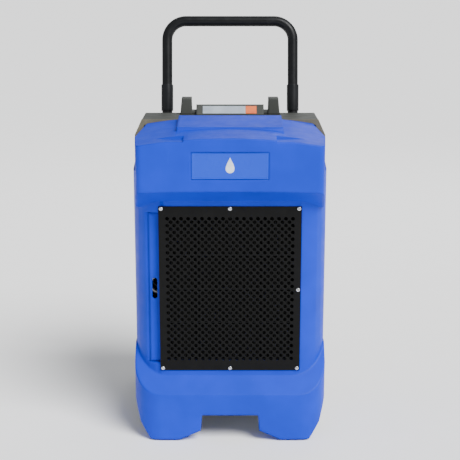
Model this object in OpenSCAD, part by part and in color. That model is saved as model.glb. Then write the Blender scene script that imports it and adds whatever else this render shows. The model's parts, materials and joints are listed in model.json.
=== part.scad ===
// Portable commercial dehumidifier: a two-shell moulded housing on a steel pan, with a front
// intake, a refrigeration circuit, a fan, a condensate pump, wheels and a folding handle.
// X runs across the front, -Y is the front, Z is up; the origin is under the middle, on the floor.

/* [Housing] */
// Width across the housing at its widest
body_w = 432; // [380:1:520]
// Seam to the face of the brow, at its sides
front_depth = 225; // [200:1:280]
// Seam to the back of the lower housing
rear_depth = 200; // [185:1:260]
// Seam to the back of the upper housing
upper_rear_depth = 142; // [130:1:160]
// Wall of both shells
wall = 4; // [3:0.5:5]
// Set-back of the lower face behind the brow
face_setback = 30; // [20:1:40]
// Plan radius of the lower front corners
corner_r = 75; // [40:1:90]
// Thickness of the gasket between the shells
gasket_t = 3; // [2:0.5:5]
// Width of the flange inside the front shell's seam
flange_w = 14; // [10:1:18]

/* [Base] */
// Height of the sill line on the lower face
sill_top = 141.6; // [130:0.1:170]
// Drop of the sloped sill
sill_drop = 34.6; // [25:0.1:45]
// Clear height under the pan
under_z = 56; // [50:1:70]
// Thickness of the pan
pan_t = 4; // [3:0.5:5]
// Half width of the arch between the front feet
arch_half = 62; // [40:1:80]
// Half width of the arch where it meets the floor
arch_foot = 112; // [90:1:120]
// Outer edge of each front foot
foot_half = 176; // [150:1:185]
// Thickness of the rubber under each foot
pad_t = 3; // [2:0.5:5]

/* [Intake] */
// Width of the perforated panel
panel_w = 308; // [250:1:330]
// Height of the perforated panel
panel_h = 369.4; // [300:0.1:450]
// Thickness of the perforated panel
panel_t = 1.5; // [1:0.1:3]
// Diameter of each perforation
hole_d = 8; // [5:0.5:10]
// Distance between neighbouring holes in a row
hole_pitch = 15; // [12:0.5:20]
// Thickness of the sliding filter
filter_t = 11; // [8:1:14]

/* [Brow and top] */
// Height of the brow from its underside to the front ridge
brow_h = 137; // [120:1:180]
// Rise of the top from the front ridge to the seam
top_rise = 18; // [8:1:30]
// Height of the raised pad on the top
pad_rise = 3; // [2:0.5:8]
// Half width of the middle between the stacking notches
notch_half = 98; // [60:1:120]
// Depth of each stacking notch from front to back
notch_depth = 43; // [36:1:60]
// Width of the badge plate
badge_w = 162; // [100:1:200]
// Height of the badge plate
badge_h = 56; // [40:1:70]

/* [Handle] */
// Diameter of the handle tube
tube_d = 24.5; // [20:0.5:28]
// Distance between the two legs' centres
leg_span = 300; // [260:1:310]
// Length of the handle from its pivot to the bar's centre
handle_len = 259.5; // [200:0.5:275]
// Lean of the raised handle behind vertical, in degrees
handle_lean = 14; // [5:1:20]
// Centreline radius of the handle's corners
handle_r = 45; // [30:1:60]
// Diameter of the pivot bolts
pivot_d = 10; // [8:1:12]

/* [Wheels] */
// Diameter of each wheel
wheel_d = 100; // [90:1:104]
// Width of each tyre
wheel_w = 36; // [25:1:40]
// Diameter of the axle
axle_d = 11; // [8:0.5:11.5]

/* [Controls] */
// Diameter of each push button
button_d = 9; // [7:0.5:11]
// Travel of each push button
button_travel = 1.5; // [1:0.1:2]

/* [Air and cold circuit] */
// Diameter of the fan
fan_d = 292; // [200:1:296]
// Radius of the compressor's shell
comp_r = 60; // [45:1:62]
// Height of the compressor's shell
comp_h = 222; // [180:1:226]
// Outside radius of the coil tubes
coil_r = 5; // [4:0.5:6]

/* [Fits] */
// Gap between a shaft and its bore, on the radius
run_gap = 0.05; // [0.02:0.01:0.1]
// Gap left around pieces that slide past each other
slide_gap = 0.3; // [0.2:0.05:0.5]

/* [Hidden] */
$fn = 64;
big = 900;
eps = 1;

half_w = body_w / 2;
flank_step = 4;
low_half = half_w - flank_step;
seam = gasket_t / 2;

face_y = -(front_depth - face_setback);
base_y = -(front_depth + 5);
panel_z0 = sill_top + 12;
panel_z1 = panel_z0 + panel_h;
panel_zc = (panel_z0 + panel_z1) / 2;
brow_z0 = panel_z1 + 13;
brow_lip_z = brow_z0 + 21;
ridge_z = brow_z0 + brow_h;
deck_z = ridge_z + 10;
notch_z = ridge_z - 8;
brow_r = 14;
brow_taper = 17;
brow_crown = 5;
brow_cx = half_w - brow_taper * (front_depth - brow_r) / front_depth - brow_r;
top_crown = 14;
top_half = 177;
crown_r = (top_half * top_half + top_crown * top_crown) / (2 * top_crown);
top_tilt = atan(top_rise / front_depth);
bevel_w = 38;
bevel_h = 40;
deck_bevel_w = 16;
deck_bevel_h = 34;
base_r = 60;
badge_z = ridge_z - 58.5;
badge_y = -front_depth - brow_crown / 2;
badge_t = 1.7;
badge_gap = 1;

recess_z = panel_z0 + 196;
rear_r = 50;
upper_r = 15;

pan_top = under_z + pan_t;
pan_gap = 0.3;
rim_inset = 10.5;

wheel_r = wheel_d / 2;
wheel_y = rear_depth + 30 - wheel_r;
wheel_x0 = low_half - 2 - wheel_w;
well_x = wheel_x0 - 6;
well_r = wheel_r + 6;
axle_r = axle_d / 2;
lug_w = 18;
hub_r = wheel_r - 14;

screw_r = 1.9;
head_r = 4.2;
head_h = 2.4;
panel_screws = [[-1, 1], [0, 1], [1, 1], [1, 0], [-1, -1], [0, -1], [1, -1]];
screw_x = panel_w / 2 - 6;
screw_dz = panel_h / 2 - 5.2;

filter_gap = 0.7;
filter_y1 = face_y + wall + filter_gap;
filter_y0 = filter_y1 + filter_t;
notch_floor_y = filter_y0 + 1.5;
slot_z0 = panel_z0 + 16.4;
slot_z1 = panel_z1 - 15;
slot_x = -(panel_w / 2);
filter_half = panel_w / 2 - 4;
filter_z0 = slot_z0 + 1;
filter_z1 = slot_z1 - 1;
filter_border = 8;
rail_h = 8;
rail_end = 3;
tab_x = slot_x - 22;
finger_w = 11;
finger_h = 47;
finger_x = slot_x - 10.5;
open_half = panel_w / 2 - 13;

frame_x = panel_w / 2 - 2;
frame_t = 2;
frame_y0 = notch_floor_y + wall + 2;
frame_y1 = frame_y0 + 90;
coil_z0 = slot_z0 + 30;
coil_rows = 8;
coil_pitch = (slot_z1 - slot_z0 - 58) / (coil_rows - 1);
coil_z1 = coil_z0 + coil_pitch * (coil_rows - 1);
evap_y = frame_y0 + 22;
cond_y = frame_y0 + 69;
fin_count = 46;

fan_r = fan_d / 2;
fan_z = panel_zc + 4;
shroud_r = fan_r + 4;
frame_top = max(panel_z1 - 3, fan_z + shroud_r + 1);
shroud_y0 = frame_y1 + 6;
shroud_depth = 42;
bracket_y = shroud_y0 + shroud_depth;
bracket_t = 4;
motor_r = 55;
motor_len = 78;
shaft_r = 5;
fan_hub_r = 40;

comp_x = -85;
comp_y = 95;
mount_h = 14;
comp_z = pan_top + mount_h + 4;
acc_r = 21;
acc_x = comp_x - comp_r - acc_r - 9;
acc_y = comp_y + 20;
acc_z0 = under_z + wheel_d / 2 + 10;
acc_h = 160;
pipe_x = -188;
pipe_r = 4;
drier_y = cond_y + 10;
drier_len = 78;

res_x0 = 50;
res_x1 = 160;
res_y0 = 20;
res_y1 = 118;
res_h = 100;
res_wall = 2.5;
res_top = pan_top + res_h;
lid_t = 3;
pump_x = 132;
float_x = 80;
res_yc = (res_y0 + res_y1) / 2;
pump_h = 52;
float_travel = 25;
outlet_x = 60;
outlet_z = under_z + 44;
outlet_r = 8;

ebox_half = 158;
ebox_y0 = frame_y0;
ebox_y1 = frame_y0 + 118;
ebox_h = 112;
ebox_wall = 1.5;

ex_half = 125;
ex_z0 = under_z + 82;
ex_z1 = recess_z - 38;
ex_t = 1.5;

gland_x = -60;
gland_z = deck_z - 90;
gland_bore = 5;
gland_r = 8;
switch_x = 60;

pivot_out = tube_d / 2 + 0.75;
pivot_y = upper_rear_depth + pivot_out;
pivot_z = deck_z - 43;
leg_x = leg_span / 2;
tube_r = tube_d / 2;
tube_wall = 2;
ear_gap = 0.95;
ear_t = 4;
ear_screw_z = [-31, -20];
knob_r = tube_r + 0.1;
knob_len = 20;
pivot_r = pivot_d / 2;
ear_in = tube_r + ear_gap;

tower_in = 89;
tower_out = 114;
tower_h = 38;
tower_y0 = upper_rear_depth - 38;
bridge_half = 79;
bridge_h = 22;
bridge_y0 = upper_rear_depth - 50;
peak_y0 = bridge_y0 + 22;
peak_y1 = peak_y0 + 6;
slope_run = upper_rear_depth - peak_y1;
slope_drop = bridge_h - 3;
panel_tilt = atan(slope_drop / slope_run);
slope_len = norm([slope_run, slope_drop]);
button_x = [-6, 12, 30, 48];
overlay_half = 66;
overlay_t = 1;
button_len = 8;

seam_z0 = pan_top + 0.3;

// ---- shapes shared by the parts

// Points of an arc about c, from angle a0 to a1
function arc(c, r, a0, a1, n = 8) =
    [for (i = [0:n]) let (a = a0 + (a1 - a0) * i / n) [c.x + r * cos(a), c.y + r * sin(a)]];

// A half outline on +X, closed by its mirror image
function both(p) = concat(p, [for (i = [len(p) - 1:-1:0]) [-p[i].x, p[i].y]]);

function crown_points(s) = [for (k = [0.8, 0.6, 0.4, 0.2])
    [brow_cx * k, -(front_depth - s) - brow_crown * (1 - k * k)]];

function brow_plan(s, ye) = both(concat([[half_w - s, ye]],
    arc([brow_cx, -(front_depth - brow_r)], brow_r - s, 0, -90), crown_points(s)));

function low_plan(s, ye) = both(concat([[half_w - s, ye]],
    arc([half_w - 5 - corner_r, face_y + corner_r], corner_r - s, 0, -90)));

function base_plan(s, ye) = both(concat([[half_w - s, ye]],
    arc([low_half - base_r, base_y + base_r], base_r - s, 0, -90)));

function rear_low_plan(s, ys) = both(concat([[half_w - s, ys]],
    arc([half_w - 10 - rear_r, rear_depth - rear_r], rear_r - s, 0, 90)));

function rear_up_plan(s, ys) = both(concat([[half_w - s, ys]],
    arc([half_w - 8 - upper_r, upper_rear_depth - upper_r], upper_r - s, 0, 90)));

// Everything beyond a plane through p, with outward normal n, moved inward by s
module beyond(p, n, s = 0) {
    d = n / norm(n);
    translate(p - s * d)
        rotate([0, acos(d.z), atan2(d.y, d.x)])
            translate([-big / 2, -big / 2, 0])
                cube(big);
}

// A round bar from a to b
module rod(a, b, r) {
    v = b - a;
    translate(a)
        rotate([0, acos(v.z / norm(v)), atan2(v.y, v.x)])
            cylinder(r = r, h = norm(v), $fn = 32);
}

// A pipe along points, with round elbows
module pipe(points, r) {
    for (i = [0:len(points) - 2])
        rod(points[i], points[i + 1], r);
    for (i = [1:len(points) - 2])
        translate(points[i])
            sphere(r = r, $fn = 32);
}

// A cylinder along +Y from y0
module along_y(x, y0, z, r, len) {
    translate([x, y0, z])
        rotate([-90, 0, 0])
            cylinder(r = r, h = len);
}

// A cylinder along +X from x0
module along_x(x0, y, z, r, len) {
    translate([x0, y, z])
        rotate([0, 90, 0])
            cylinder(r = r, h = len);
}

// A box given by its two opposite corners
module block(lo, hi) {
    translate(lo)
        cube(hi - lo);
}

module mirrored() {
    children();
    mirror([1, 0, 0])
        children();
}

// The housing's flanks seen from the front: narrower below the brow
module flank(s, y0, y1) {
    right = [[low_half - s, -eps], [low_half - s, brow_z0 - 36],
        [half_w - s, brow_z0 + 24], [half_w - s, ridge_z + 60]];
    translate([0, y1, 0])
        rotate([90, 0, 0])
            linear_extrude(y1 - y0)
                polygon(both(right));
}

// ---- housing

// The space under the crowned, rising top of the front shell
module under_crown(s) {
    translate([0, -front_depth, ridge_z])
        rotate([top_tilt, 0, 0])
            translate([0, 0, -crown_r])
                rotate([-90, 0, 0])
                    cylinder(r = crown_r - s, h = big, center = true, $fn = 256);
}

module raised_pad(s) {
    translate([0, -front_depth, ridge_z])
        rotate([top_tilt, 0, 0])
            block([-115 + s, 93 + s, -20], [115 - s, front_depth + 9, pad_rise - s]);
}

module stacking_notch(s) {
    block([notch_half - s, -big / 2, notch_z - s],
        [big / 2, -front_depth + notch_depth + s, big]);
}

// Solid outside form of the front shell, inset by s and ending at y = ye
module front_form(s, ye) {
    difference() {
        intersection() {
            union() {
                difference() {
                    translate([0, 0, brow_z0 - 20])
                        linear_extrude(brow_h + 80)
                            polygon(brow_plan(s, ye));
                    beyond([0, -front_depth, brow_lip_z], [0, -0.6, -0.8], s);
                }
                translate([0, 0, s > 0 ? -eps : under_z])
                    linear_extrude(brow_z0)
                        polygon(low_plan(s, ye));
                difference() {
                    translate([0, 0, s > 0 ? pan_top : pad_t])
                        linear_extrude(sill_top + 60 - s - (s > 0 ? pan_top : pad_t))
                            polygon(base_plan(s, ye));
                    beyond([0, face_y, sill_top], [0, -sill_drop, face_setback + 5], s);
                }
            }
            flank(s, -big / 2, ye);
            under_crown(s);
        }
        mirrored()
            stacking_notch(s);
        mirrored()
            beyond([half_w, 0, ridge_z + top_rise - 6 - bevel_h], [bevel_h, 1.8, bevel_w], s);
    }
}

// Cut under the base that leaves the arch, the two feet and their curved outer edges
module base_cuts() {
    arch = both([[arch_foot, -eps], [arch_foot, pad_t], [arch_half + 3, 24], [arch_half, under_z + 4]]);
    outer = [[foot_half, -eps], [foot_half, pad_t], [foot_half + 23, 38], [half_w - 1, 100],
        [big / 2, 100], [big / 2, -eps]];
    translate([0, face_y + wall, 0])
        rotate([90, 0, 0])
            linear_extrude(big / 2)
                polygon(arch);
    mirrored()
        rotate([90, 0, 0])
            linear_extrude(big / 2)
                polygon(outer);
    block([-big / 2, face_y + wall, -eps], [big / 2, eps, under_z]);
}

// The notch at the left of the face where the filter is pulled out
module filter_notch(s) {
    block([-big / 2, -big / 2, slot_z0 - s], [slot_x + s, notch_floor_y + s, slot_z1 + s]);
}

module finger_slot(y0, y1, grow) {
    zc = panel_zc;
    r = finger_w / 2 + grow;
    dz = (finger_h - finger_w) / 2;
    for (side = [-1, 1])
        along_y(finger_x, y0, zc + side * dz, r, y1 - y0);
    block([finger_x - r, y0, zc - dz], [finger_x + r, y1, zc + dz]);
}

module at_panel_screws() {
    for (p = panel_screws)
        translate([p.x * screw_x, 0, panel_zc + p.y * screw_dz])
            children();
}

module front_shell() {
    color("royalblue")
        difference() {
            union() {
                front_form(0, -seam);
                intersection() {
                    raised_pad(0);
                    block([-big, -big, 0], [big, -seam, big]);
                }
            }
            difference() {
                intersection() {
                    front_form(wall, -seam);
                    block([-big, -big, -eps], [big, -seam - 8, big]);
                }
                filter_notch(wall);
            }
            intersection() {
                front_form(flange_w, eps);
                block([-big, -seam - 9, -eps], [big, eps, big]);
            }
            block([-low_half + wall, -seam - 9, -eps], [low_half - wall, eps, seam_z0]);
            base_cuts();
            filter_notch(0);
            block([slot_x - 2, face_y + wall, slot_z0], [slot_x + wall + eps, notch_floor_y, slot_z1]);
            finger_slot(notch_floor_y - eps, notch_floor_y + wall + eps, 2);
            block([-open_half, face_y - eps, slot_z0 + 6], [open_half, face_y + wall + eps, slot_z1 - 5]);
            at_panel_screws()
                along_y(0, face_y - eps, 0, screw_r + 0.1, wall + 2 * eps);
            block([-badge_w / 2 - badge_gap, -big, badge_z - badge_h / 2 - badge_gap],
                [badge_w / 2 + badge_gap, badge_y, badge_z + badge_h / 2 + badge_gap]);
            block([slot_x + wall, face_y + wall, filter_z0 - rail_h - 0.2],
                [filter_half + rail_end + 0.2, filter_y0 + 3, filter_z1 + rail_h + 0.2]);
        }
}

module well(s) {
    along_x(well_x - s, wheel_y, wheel_r, well_r + s, big);
}

// Solid outside form of the rear shell, inset by s and starting at y = ys
module rear_form(s, ys) {
    difference() {
        intersection() {
            union() {
                translate([0, 0, s > 0 ? -eps : under_z])
                    linear_extrude(deck_z - s - (s > 0 ? -eps : under_z))
                        polygon(rear_up_plan(s, ys));
                difference() {
                    translate([0, 0, s > 0 ? -eps : under_z])
                        linear_extrude(recess_z)
                            polygon(rear_low_plan(s, ys));
                    beyond([0, upper_rear_depth, recess_z], [0, 30, 58], s);
                }
            }
            flank(s, ys, rear_depth + eps);
        }
        mirrored()
            beyond([half_w - deck_bevel_w, 0, deck_z], [deck_bevel_h, 0, deck_bevel_w], s);
        mirrored()
            well(s > 0 ? s : 0);
    }
}

module at_exhaust_screws() {
    for (x = [-1, 0, 1], z = [ex_z0 + 7, ex_z1 - 7])
        translate([x * (ex_half - 7), 0, z])
            children();
}

module at_bracket_screws() {
    for (side = [-1, 1], x = [-24, 24], z = ear_screw_z)
        translate([side * leg_x + x, 0, pivot_z + z])
            children();
}

module rear_shell() {
    color("dimgray")
        difference() {
            rear_form(0, seam);
            rear_form(wall, seam - eps);
            mirrored()
                block([well_x - 6, wheel_y - 12, 0], [well_x + 6, wheel_y + 12, wheel_r + axle_r + 4]);
            block([-ex_half + 14, rear_depth - 10, ex_z0 + 14], [ex_half - 14, rear_depth + eps, ex_z1 - 14]);
            at_exhaust_screws()
                along_y(0, rear_depth - 10, 0, screw_r + 0.1, 12);
            at_bracket_screws()
                along_y(0, upper_rear_depth - 10, 0, screw_r + 0.1, 12);
            along_y(gland_x, upper_rear_depth - 10, gland_z, gland_r + 0.1, 12);
            along_y(outlet_x, rear_depth - 10, outlet_z, outlet_r + 0.1, 12);
            block([switch_x - 14, upper_rear_depth - 10, gland_z - 10],
                [switch_x + 14, upper_rear_depth + eps, gland_z + 10]);
        }
}

module seam_outline(s) {
    right = [[low_half - s, seam_z0], [low_half - s, brow_z0 - 36], [half_w - s, brow_z0 + 24],
        [half_w - s, deck_z - deck_bevel_h - s * 0.4 + 1], [half_w - deck_bevel_w - s * 0.6, deck_z + 1.5 - s]];
    polygon(both(right));
}

module seam_gasket() {
    color("darkkhaki")
        translate([0, seam, 0])
            rotate([90, 0, 0])
                linear_extrude(gasket_t)
                    difference() {
                        seam_outline(0);
                        translate([0, -eps])
                            seam_outline(flange_w - 3);
                    }
}

module pan_plan(extra) {
    union() {
        polygon(both(concat([[low_half - wall - extra, eps]],
            arc([half_w - 5 - corner_r, face_y + corner_r], corner_r - wall - 1.2 - extra, 0, -90))));
        polygon(both(concat([[low_half - wall - extra, 0]],
            arc([half_w - 10 - rear_r, rear_depth - rear_r], rear_r - wall - extra, 0, 90))));
    }
}

module base_pan() {
    color("gray")
        difference() {
            union() {
                translate([0, 0, under_z])
                    linear_extrude(pan_t)
                        pan_plan(pan_gap);
                translate([0, 0, under_z])
                    linear_extrude(pan_t + 12)
                        difference() {
                            pan_plan(rim_inset);
                            pan_plan(rim_inset + 2);
                        }
                mirrored()
                    block([well_x - 10 - lug_w, wheel_y - 14, wheel_r - axle_r - 6],
                        [well_x - 10, wheel_y + 14, under_z + eps]);
            }
            mirrored()
                well(wall + pan_gap);
            along_x(-half_w, wheel_y, wheel_r, axle_r + run_gap, body_w);
        }
}

module foot_pads() {
    color("black")
        mirrored()
            block([arch_foot + 5, base_y + 9, 0], [foot_half - 3, face_y + wall - 4, pad_t]);
}

module badge_plate() {
    color("slategray")
        block([-badge_w / 2, badge_y - badge_t, badge_z - badge_h / 2],
            [badge_w / 2, badge_y, badge_z + badge_h / 2]);
}

// ---- intake and filter

module intake_grille() {
    columns = floor((panel_w - 38) / hole_pitch / 2);
    rows = floor((panel_h - 54) / hole_pitch);
    z0 = panel_zc - rows * hole_pitch / 2;
    color("black")
        translate([0, face_y, 0])
            rotate([90, 0, 0])
                linear_extrude(panel_t)
                    difference() {
                        translate([-panel_w / 2, panel_z0])
                            square([panel_w, panel_h]);
                        for (i = [-columns:columns], j = [0:rows])
                            translate([i * hole_pitch, z0 + j * hole_pitch])
                                circle(d = hole_d);
                        for (i = [-columns:columns - 1], j = [0:rows - 1])
                            translate([(i + 0.5) * hole_pitch, z0 + (j + 0.5) * hole_pitch])
                                circle(d = hole_d);
                        for (p = panel_screws)
                            translate([p.x * screw_x, panel_zc + p.y * screw_dz])
                                circle(r = screw_r + 0.2);
                    }
}

module screw(y0, len) {
    along_y(0, y0, 0, screw_r, len);
    along_y(0, y0 - head_h, 0, head_r, head_h);
}

module grille_screws() {
    color("silver")
        at_panel_screws()
            screw(face_y - panel_t, panel_t + wall - 0.3);
}

module filter_rails() {
    y1 = face_y + wall;
    lip0 = filter_y0 + slide_gap;
    lip1 = lip0 + 2;
    xa = slot_x + wall + 1;
    xb = filter_half + rail_end;
    color("gray")
        difference() {
            block([xa, y1, filter_z0 - rail_h], [xb, lip1, filter_z1 + rail_h]);
            block([xa - eps, y1 - eps, filter_z0 - slide_gap],
                [filter_half + slide_gap, lip0, filter_z1 + slide_gap]);
            block([xa - eps, y1 - eps, filter_z0 + filter_border],
                [filter_half - filter_border, lip1 + eps, filter_z1 - filter_border]);
        }
}

module filter_frame() {
    media_y = filter_y1 + 3;
    inner_half = filter_half - filter_border;
    color("darkslategray")
        difference() {
            union() {
                difference() {
                    block([-filter_half, filter_y1, filter_z0], [filter_half, filter_y0, filter_z1]);
                    block([-inner_half, filter_y1 - eps, filter_z0 + filter_border],
                        [inner_half, filter_y0 + eps, filter_z1 - filter_border]);
                }
                for (i = [-1, 0, 1]) {
                    block([i * inner_half / 2 - 1.5, filter_y1, filter_z0 + 4],
                        [i * inner_half / 2 + 1.5, media_y, filter_z1 - 4]);
                    block([-inner_half - 1, filter_y1, panel_zc + i * 76 - 1.5],
                        [inner_half + 1, media_y, panel_zc + i * 76 + 1.5]);
                }
                block([tab_x, filter_y0 - 3, filter_z0], [-filter_half + 1, filter_y0, filter_z1]);
            }
            finger_slot(filter_y0 - 4, filter_y0 + eps, 0);
        }
}

module filter_media() {
    inner_half = filter_half - filter_border - 0.2;
    color("gainsboro")
        block([-inner_half, filter_y1 + 3.1, filter_z0 + filter_border + 0.2],
            [inner_half, filter_y0 - 0.4, filter_z1 - filter_border - 0.2]);
}

// ---- coils

module coil_frame() {
    color("silver")
        difference() {
            mirrored()
                block([frame_x, frame_y0, pan_top], [frame_x + frame_t, frame_y1, frame_top]);
            for (i = [0:coil_rows - 1], y = [evap_y, cond_y])
                along_x(-panel_w, y, coil_z0 + i * coil_pitch, coil_r + 0.1, 2 * panel_w);
        }
}

// A serpentine tube through plain fins; both free ends leave on the left
module coil(y, fin_depth) {
    outer = frame_x + frame_t + 2;
    for (i = [0:coil_rows - 1])
        along_x(-outer, y, coil_z0 + i * coil_pitch, coil_r, 2 * outer);
    for (i = [0:coil_rows - 2]) {
        side = i % 2 == 0 ? 1 : -1;
        translate([side * outer, y, coil_z0 + (i + 0.5) * coil_pitch])
            rotate([90, 0, 0])
                rotate([0, 0, side > 0 ? -90 : 90])
                    rotate_extrude(angle = 180, $fn = 48)
                        translate([coil_pitch / 2, 0])
                            circle(r = coil_r, $fn = 24);
    }
    for (i = [0:fin_count - 1]) {
        x = -frame_x + 6 + i * (2 * frame_x - 12) / (fin_count - 1);
        block([x - 0.4, y - fin_depth / 2, coil_z0 - 14], [x + 0.4, y + fin_depth / 2, coil_z1 + 14]);
    }
}

module evaporator_coil() {
    color("lightsteelblue")
        coil(evap_y, 38);
}

module condenser_coil() {
    color("lightgray")
        coil(cond_y, 34);
}

module drip_tray() {
    tray_half = frame_x - slide_gap;
    y0 = frame_y0 + 1;
    y1 = frame_y1 - 1;
    z1 = coil_z0 - 16;
    color("darkgray")
        difference() {
            block([-tray_half, y0, z1 - 16], [tray_half, y1, z1]);
            block([-tray_half + 2, y0 + 2, z1 - 14], [tray_half - 2, y1 - 2, z1 + eps]);
        }
}

// ---- fan

module fan_shroud() {
    y1 = shroud_y0 + shroud_depth;
    color("dimgray")
        difference() {
            union() {
                block([-frame_x - frame_t, frame_y1, slot_z0], [frame_x + frame_t, frame_y1 + 2, slot_z1]);
                along_y(0, frame_y1, fan_z, shroud_r + 3, y1 - frame_y1);
                mirrored()
                    block([frame_x - 10, frame_y1, pan_top], [frame_x + frame_t, frame_y1 + 2, slot_z0 + eps]);
            }
            along_y(0, frame_y1 - eps, fan_z, shroud_r, y1 - frame_y1 + 2 * eps);
        }
}

module motor_bracket() {
    color("silver")
        union() {
            difference() {
                along_y(0, bracket_y, fan_z, motor_r + 4, bracket_t);
                along_y(0, bracket_y - eps, fan_z, 14, bracket_t + 2 * eps);
            }
            for (a = [45:90:315])
                translate([0, bracket_y, fan_z])
                    rotate([0, a, 0])
                        block([motor_r, 0.5, -8], [shroud_r + 2, bracket_t - 0.5, 8]);
        }
}

module fan_motor() {
    y0 = bracket_y + bracket_t;
    color("dimgray")
        union() {
            along_y(0, y0, fan_z, motor_r, motor_len);
            along_y(0, y0 + motor_len - eps, fan_z, 22, 6 + eps);
            along_y(0, shroud_y0 + 6, fan_z, shaft_r, y0 - shroud_y0 - 5);
            for (a = [0:30:330])
                translate([0, y0 + 10, fan_z])
                    rotate([0, a, 0])
                        block([motor_r - 1, 0, -1.5], [motor_r + 3, motor_len - 22, 1.5]);
        }
}

module fan_blade() {
    y0 = shroud_y0 + 4;
    hub_len = 28;
    color("gold")
        difference() {
            union() {
                along_y(0, y0, fan_z, fan_hub_r, hub_len);
                intersection() {
                    along_y(0, y0 - 2, fan_z, fan_r, hub_len + 4);
                    for (a = [0:72:288])
                        translate([0, y0 + hub_len / 2, fan_z])
                            rotate([0, a, 0])
                                rotate([32, 0, 0])
                                    block([fan_hub_r - 4, -1.5, -44], [fan_r + 4, 1.5, 44]);
                }
            }
            along_y(0, y0 - 10, fan_z, shaft_r + run_gap, hub_len + 20);
        }
}

// ---- compressor and pipes

module compressor() {
    top = comp_z + comp_h;
    profile = concat([[0, comp_z]], arc([comp_r - 22, comp_z + 22], 22, -90, 0, 6),
        arc([comp_r - 34, top - 34], 34, 0, 90, 8), [[0, top]]);
    color("black")
        translate([comp_x, comp_y, 0])
            union() {
                rotate_extrude($fn = 64)
                    polygon(profile);
                translate([0, 0, comp_z + comp_h / 2])
                    cylinder(r = comp_r + 2, h = 8, center = true);
                translate([0, 0, top - eps])
                    cylinder(r = 6, h = 5);
                for (a = [90:120:330])
                    rotate([0, 0, a])
                        translate([comp_r - 6, 0, comp_z - 4])
                            cylinder(r = 13, h = 4);
                translate([0, 0, comp_z - 4])
                    cylinder(r = comp_r - 10, h = 5);
            }
}

module compressor_mounts() {
    color("black")
        translate([comp_x, comp_y, 0])
            for (a = [90:120:330])
                rotate([0, 0, a])
                    translate([comp_r - 6, 0, pan_top])
                        cylinder(r = 10, h = mount_h);
}

module accumulator() {
    r = acc_r;
    profile = concat([[0, 0]], arc([r - 12, 12], 12, -90, 0, 5),
        arc([r - 12, acc_h - 12], 12, 0, 90, 5), [[0, acc_h]]);
    color("black")
        union() {
            translate([acc_x, acc_y, acc_z0])
                rotate_extrude($fn = 48)
                    polygon(profile);
            translate([acc_x, acc_y - 6, pan_top])
                cylinder(r = 4.5, h = acc_z0 - pan_top + 10);
        }
}

module refrigerant_pipes() {
    stub_x = -(frame_x + frame_t + 2);
    high = coil_z1 + 40;
    comp_top = comp_z + comp_h + 4.3;
    acc_top = acc_z0 + acc_h + 0.3;
    low = coil_z0 - 40;
    color("peru") {
        pipe([[comp_x, comp_y, comp_top], [comp_x, comp_y, high - 20], [pipe_x, comp_y, high - 20],
            [pipe_x, cond_y, high - 20], [pipe_x, cond_y, coil_z1], [stub_x - 0.3, cond_y, coil_z1]], pipe_r);
        pipe([[acc_x, acc_y, acc_top], [acc_x, acc_y, high], [pipe_x, acc_y, high],
            [pipe_x, evap_y, high], [pipe_x, evap_y, coil_z1], [stub_x - 0.3, evap_y, coil_z1]], pipe_r);
        pipe([[stub_x - 0.3, cond_y, coil_z0], [pipe_x, cond_y, coil_z0],
            [pipe_x, drier_y - 0.3, coil_z0]], pipe_r);
        pipe([[pipe_x, drier_y + drier_len + 0.3, coil_z0], [pipe_x, drier_y + drier_len + 22, coil_z0],
            [pipe_x, drier_y + drier_len + 22, low], [pipe_x, evap_y, low], [pipe_x, evap_y, coil_z0],
            [stub_x - 0.3, evap_y, coil_z0]], pipe_r);
    }
}

module filter_drier() {
    color("peru")
        translate([pipe_x, drier_y, coil_z0])
            rotate([-90, 0, 0])
                rotate_extrude($fn = 32)
                    polygon([[0, 0], [5, 0], [5, 6], [13, 14], [13, drier_len - 14], [5, drier_len - 6],
                        [5, drier_len], [0, drier_len]]);
}

// ---- condensate

module condensate_reservoir() {
    color("lightgray")
        difference() {
            block([res_x0, res_y0, pan_top], [res_x1, res_y1, res_top]);
            block([res_x0 + res_wall, res_y0 + res_wall, pan_top + res_wall],
                [res_x1 - res_wall, res_y1 - res_wall, res_top + eps]);
        }
}

module condensate_pump() {
    z1 = res_top + lid_t;
    color("black")
        difference() {
            union() {
                block([res_x0, res_y0, res_top], [res_x1, res_y1, z1]);
                translate([pump_x, res_yc, z1 - eps])
                    cylinder(r = 24, h = pump_h + eps);
                translate([pump_x, res_yc, z1 + pump_h - eps])
                    cylinder(r = 16, h = 8 + eps);
                translate([pump_x, res_yc, pan_top + 20])
                    cylinder(r = 8, h = res_h);
                along_y(pump_x, res_yc + 20, z1 + 14, 6, 14);
            }
            translate([float_x, res_yc, res_top - eps])
                cylinder(r = 3 + run_gap, h = lid_t + 2 * eps);
        }
}

module float() {
    color("orange")
        translate([float_x, res_yc, 0])
            union() {
                translate([0, 0, res_top - 70])
                    cylinder(r = 17, h = 26);
                translate([0, 0, res_top - 60])
                    cylinder(r = 3, h = 60 + lid_t + 2);
                translate([0, 0, res_top + lid_t + 0.2])
                    cylinder(r = 7, h = 3);
            }
}

module drain_hose() {
    z = res_top + lid_t + 14;
    y0 = res_yc + 34.3;
    color("black")
        pipe([[pump_x, y0, z], [pump_x, rear_depth - 46, z], [outlet_x, rear_depth - 46, z],
            [outlet_x, rear_depth - 46, outlet_z], [outlet_x, rear_depth - 18.3, outlet_z]], 6);
}

module drain_outlet() {
    color("goldenrod")
        difference() {
            union() {
                along_y(outlet_x, rear_depth - 18, outlet_z, outlet_r, 40);
                along_y(outlet_x, rear_depth, outlet_z, outlet_r + 4, 6);
                along_y(outlet_x, rear_depth - wall - 4, outlet_z, outlet_r + 3, 4);
            }
            along_y(outlet_x, rear_depth - 19, outlet_z, outlet_r - 2.5, 60);
        }
}

// ---- electrics

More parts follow.
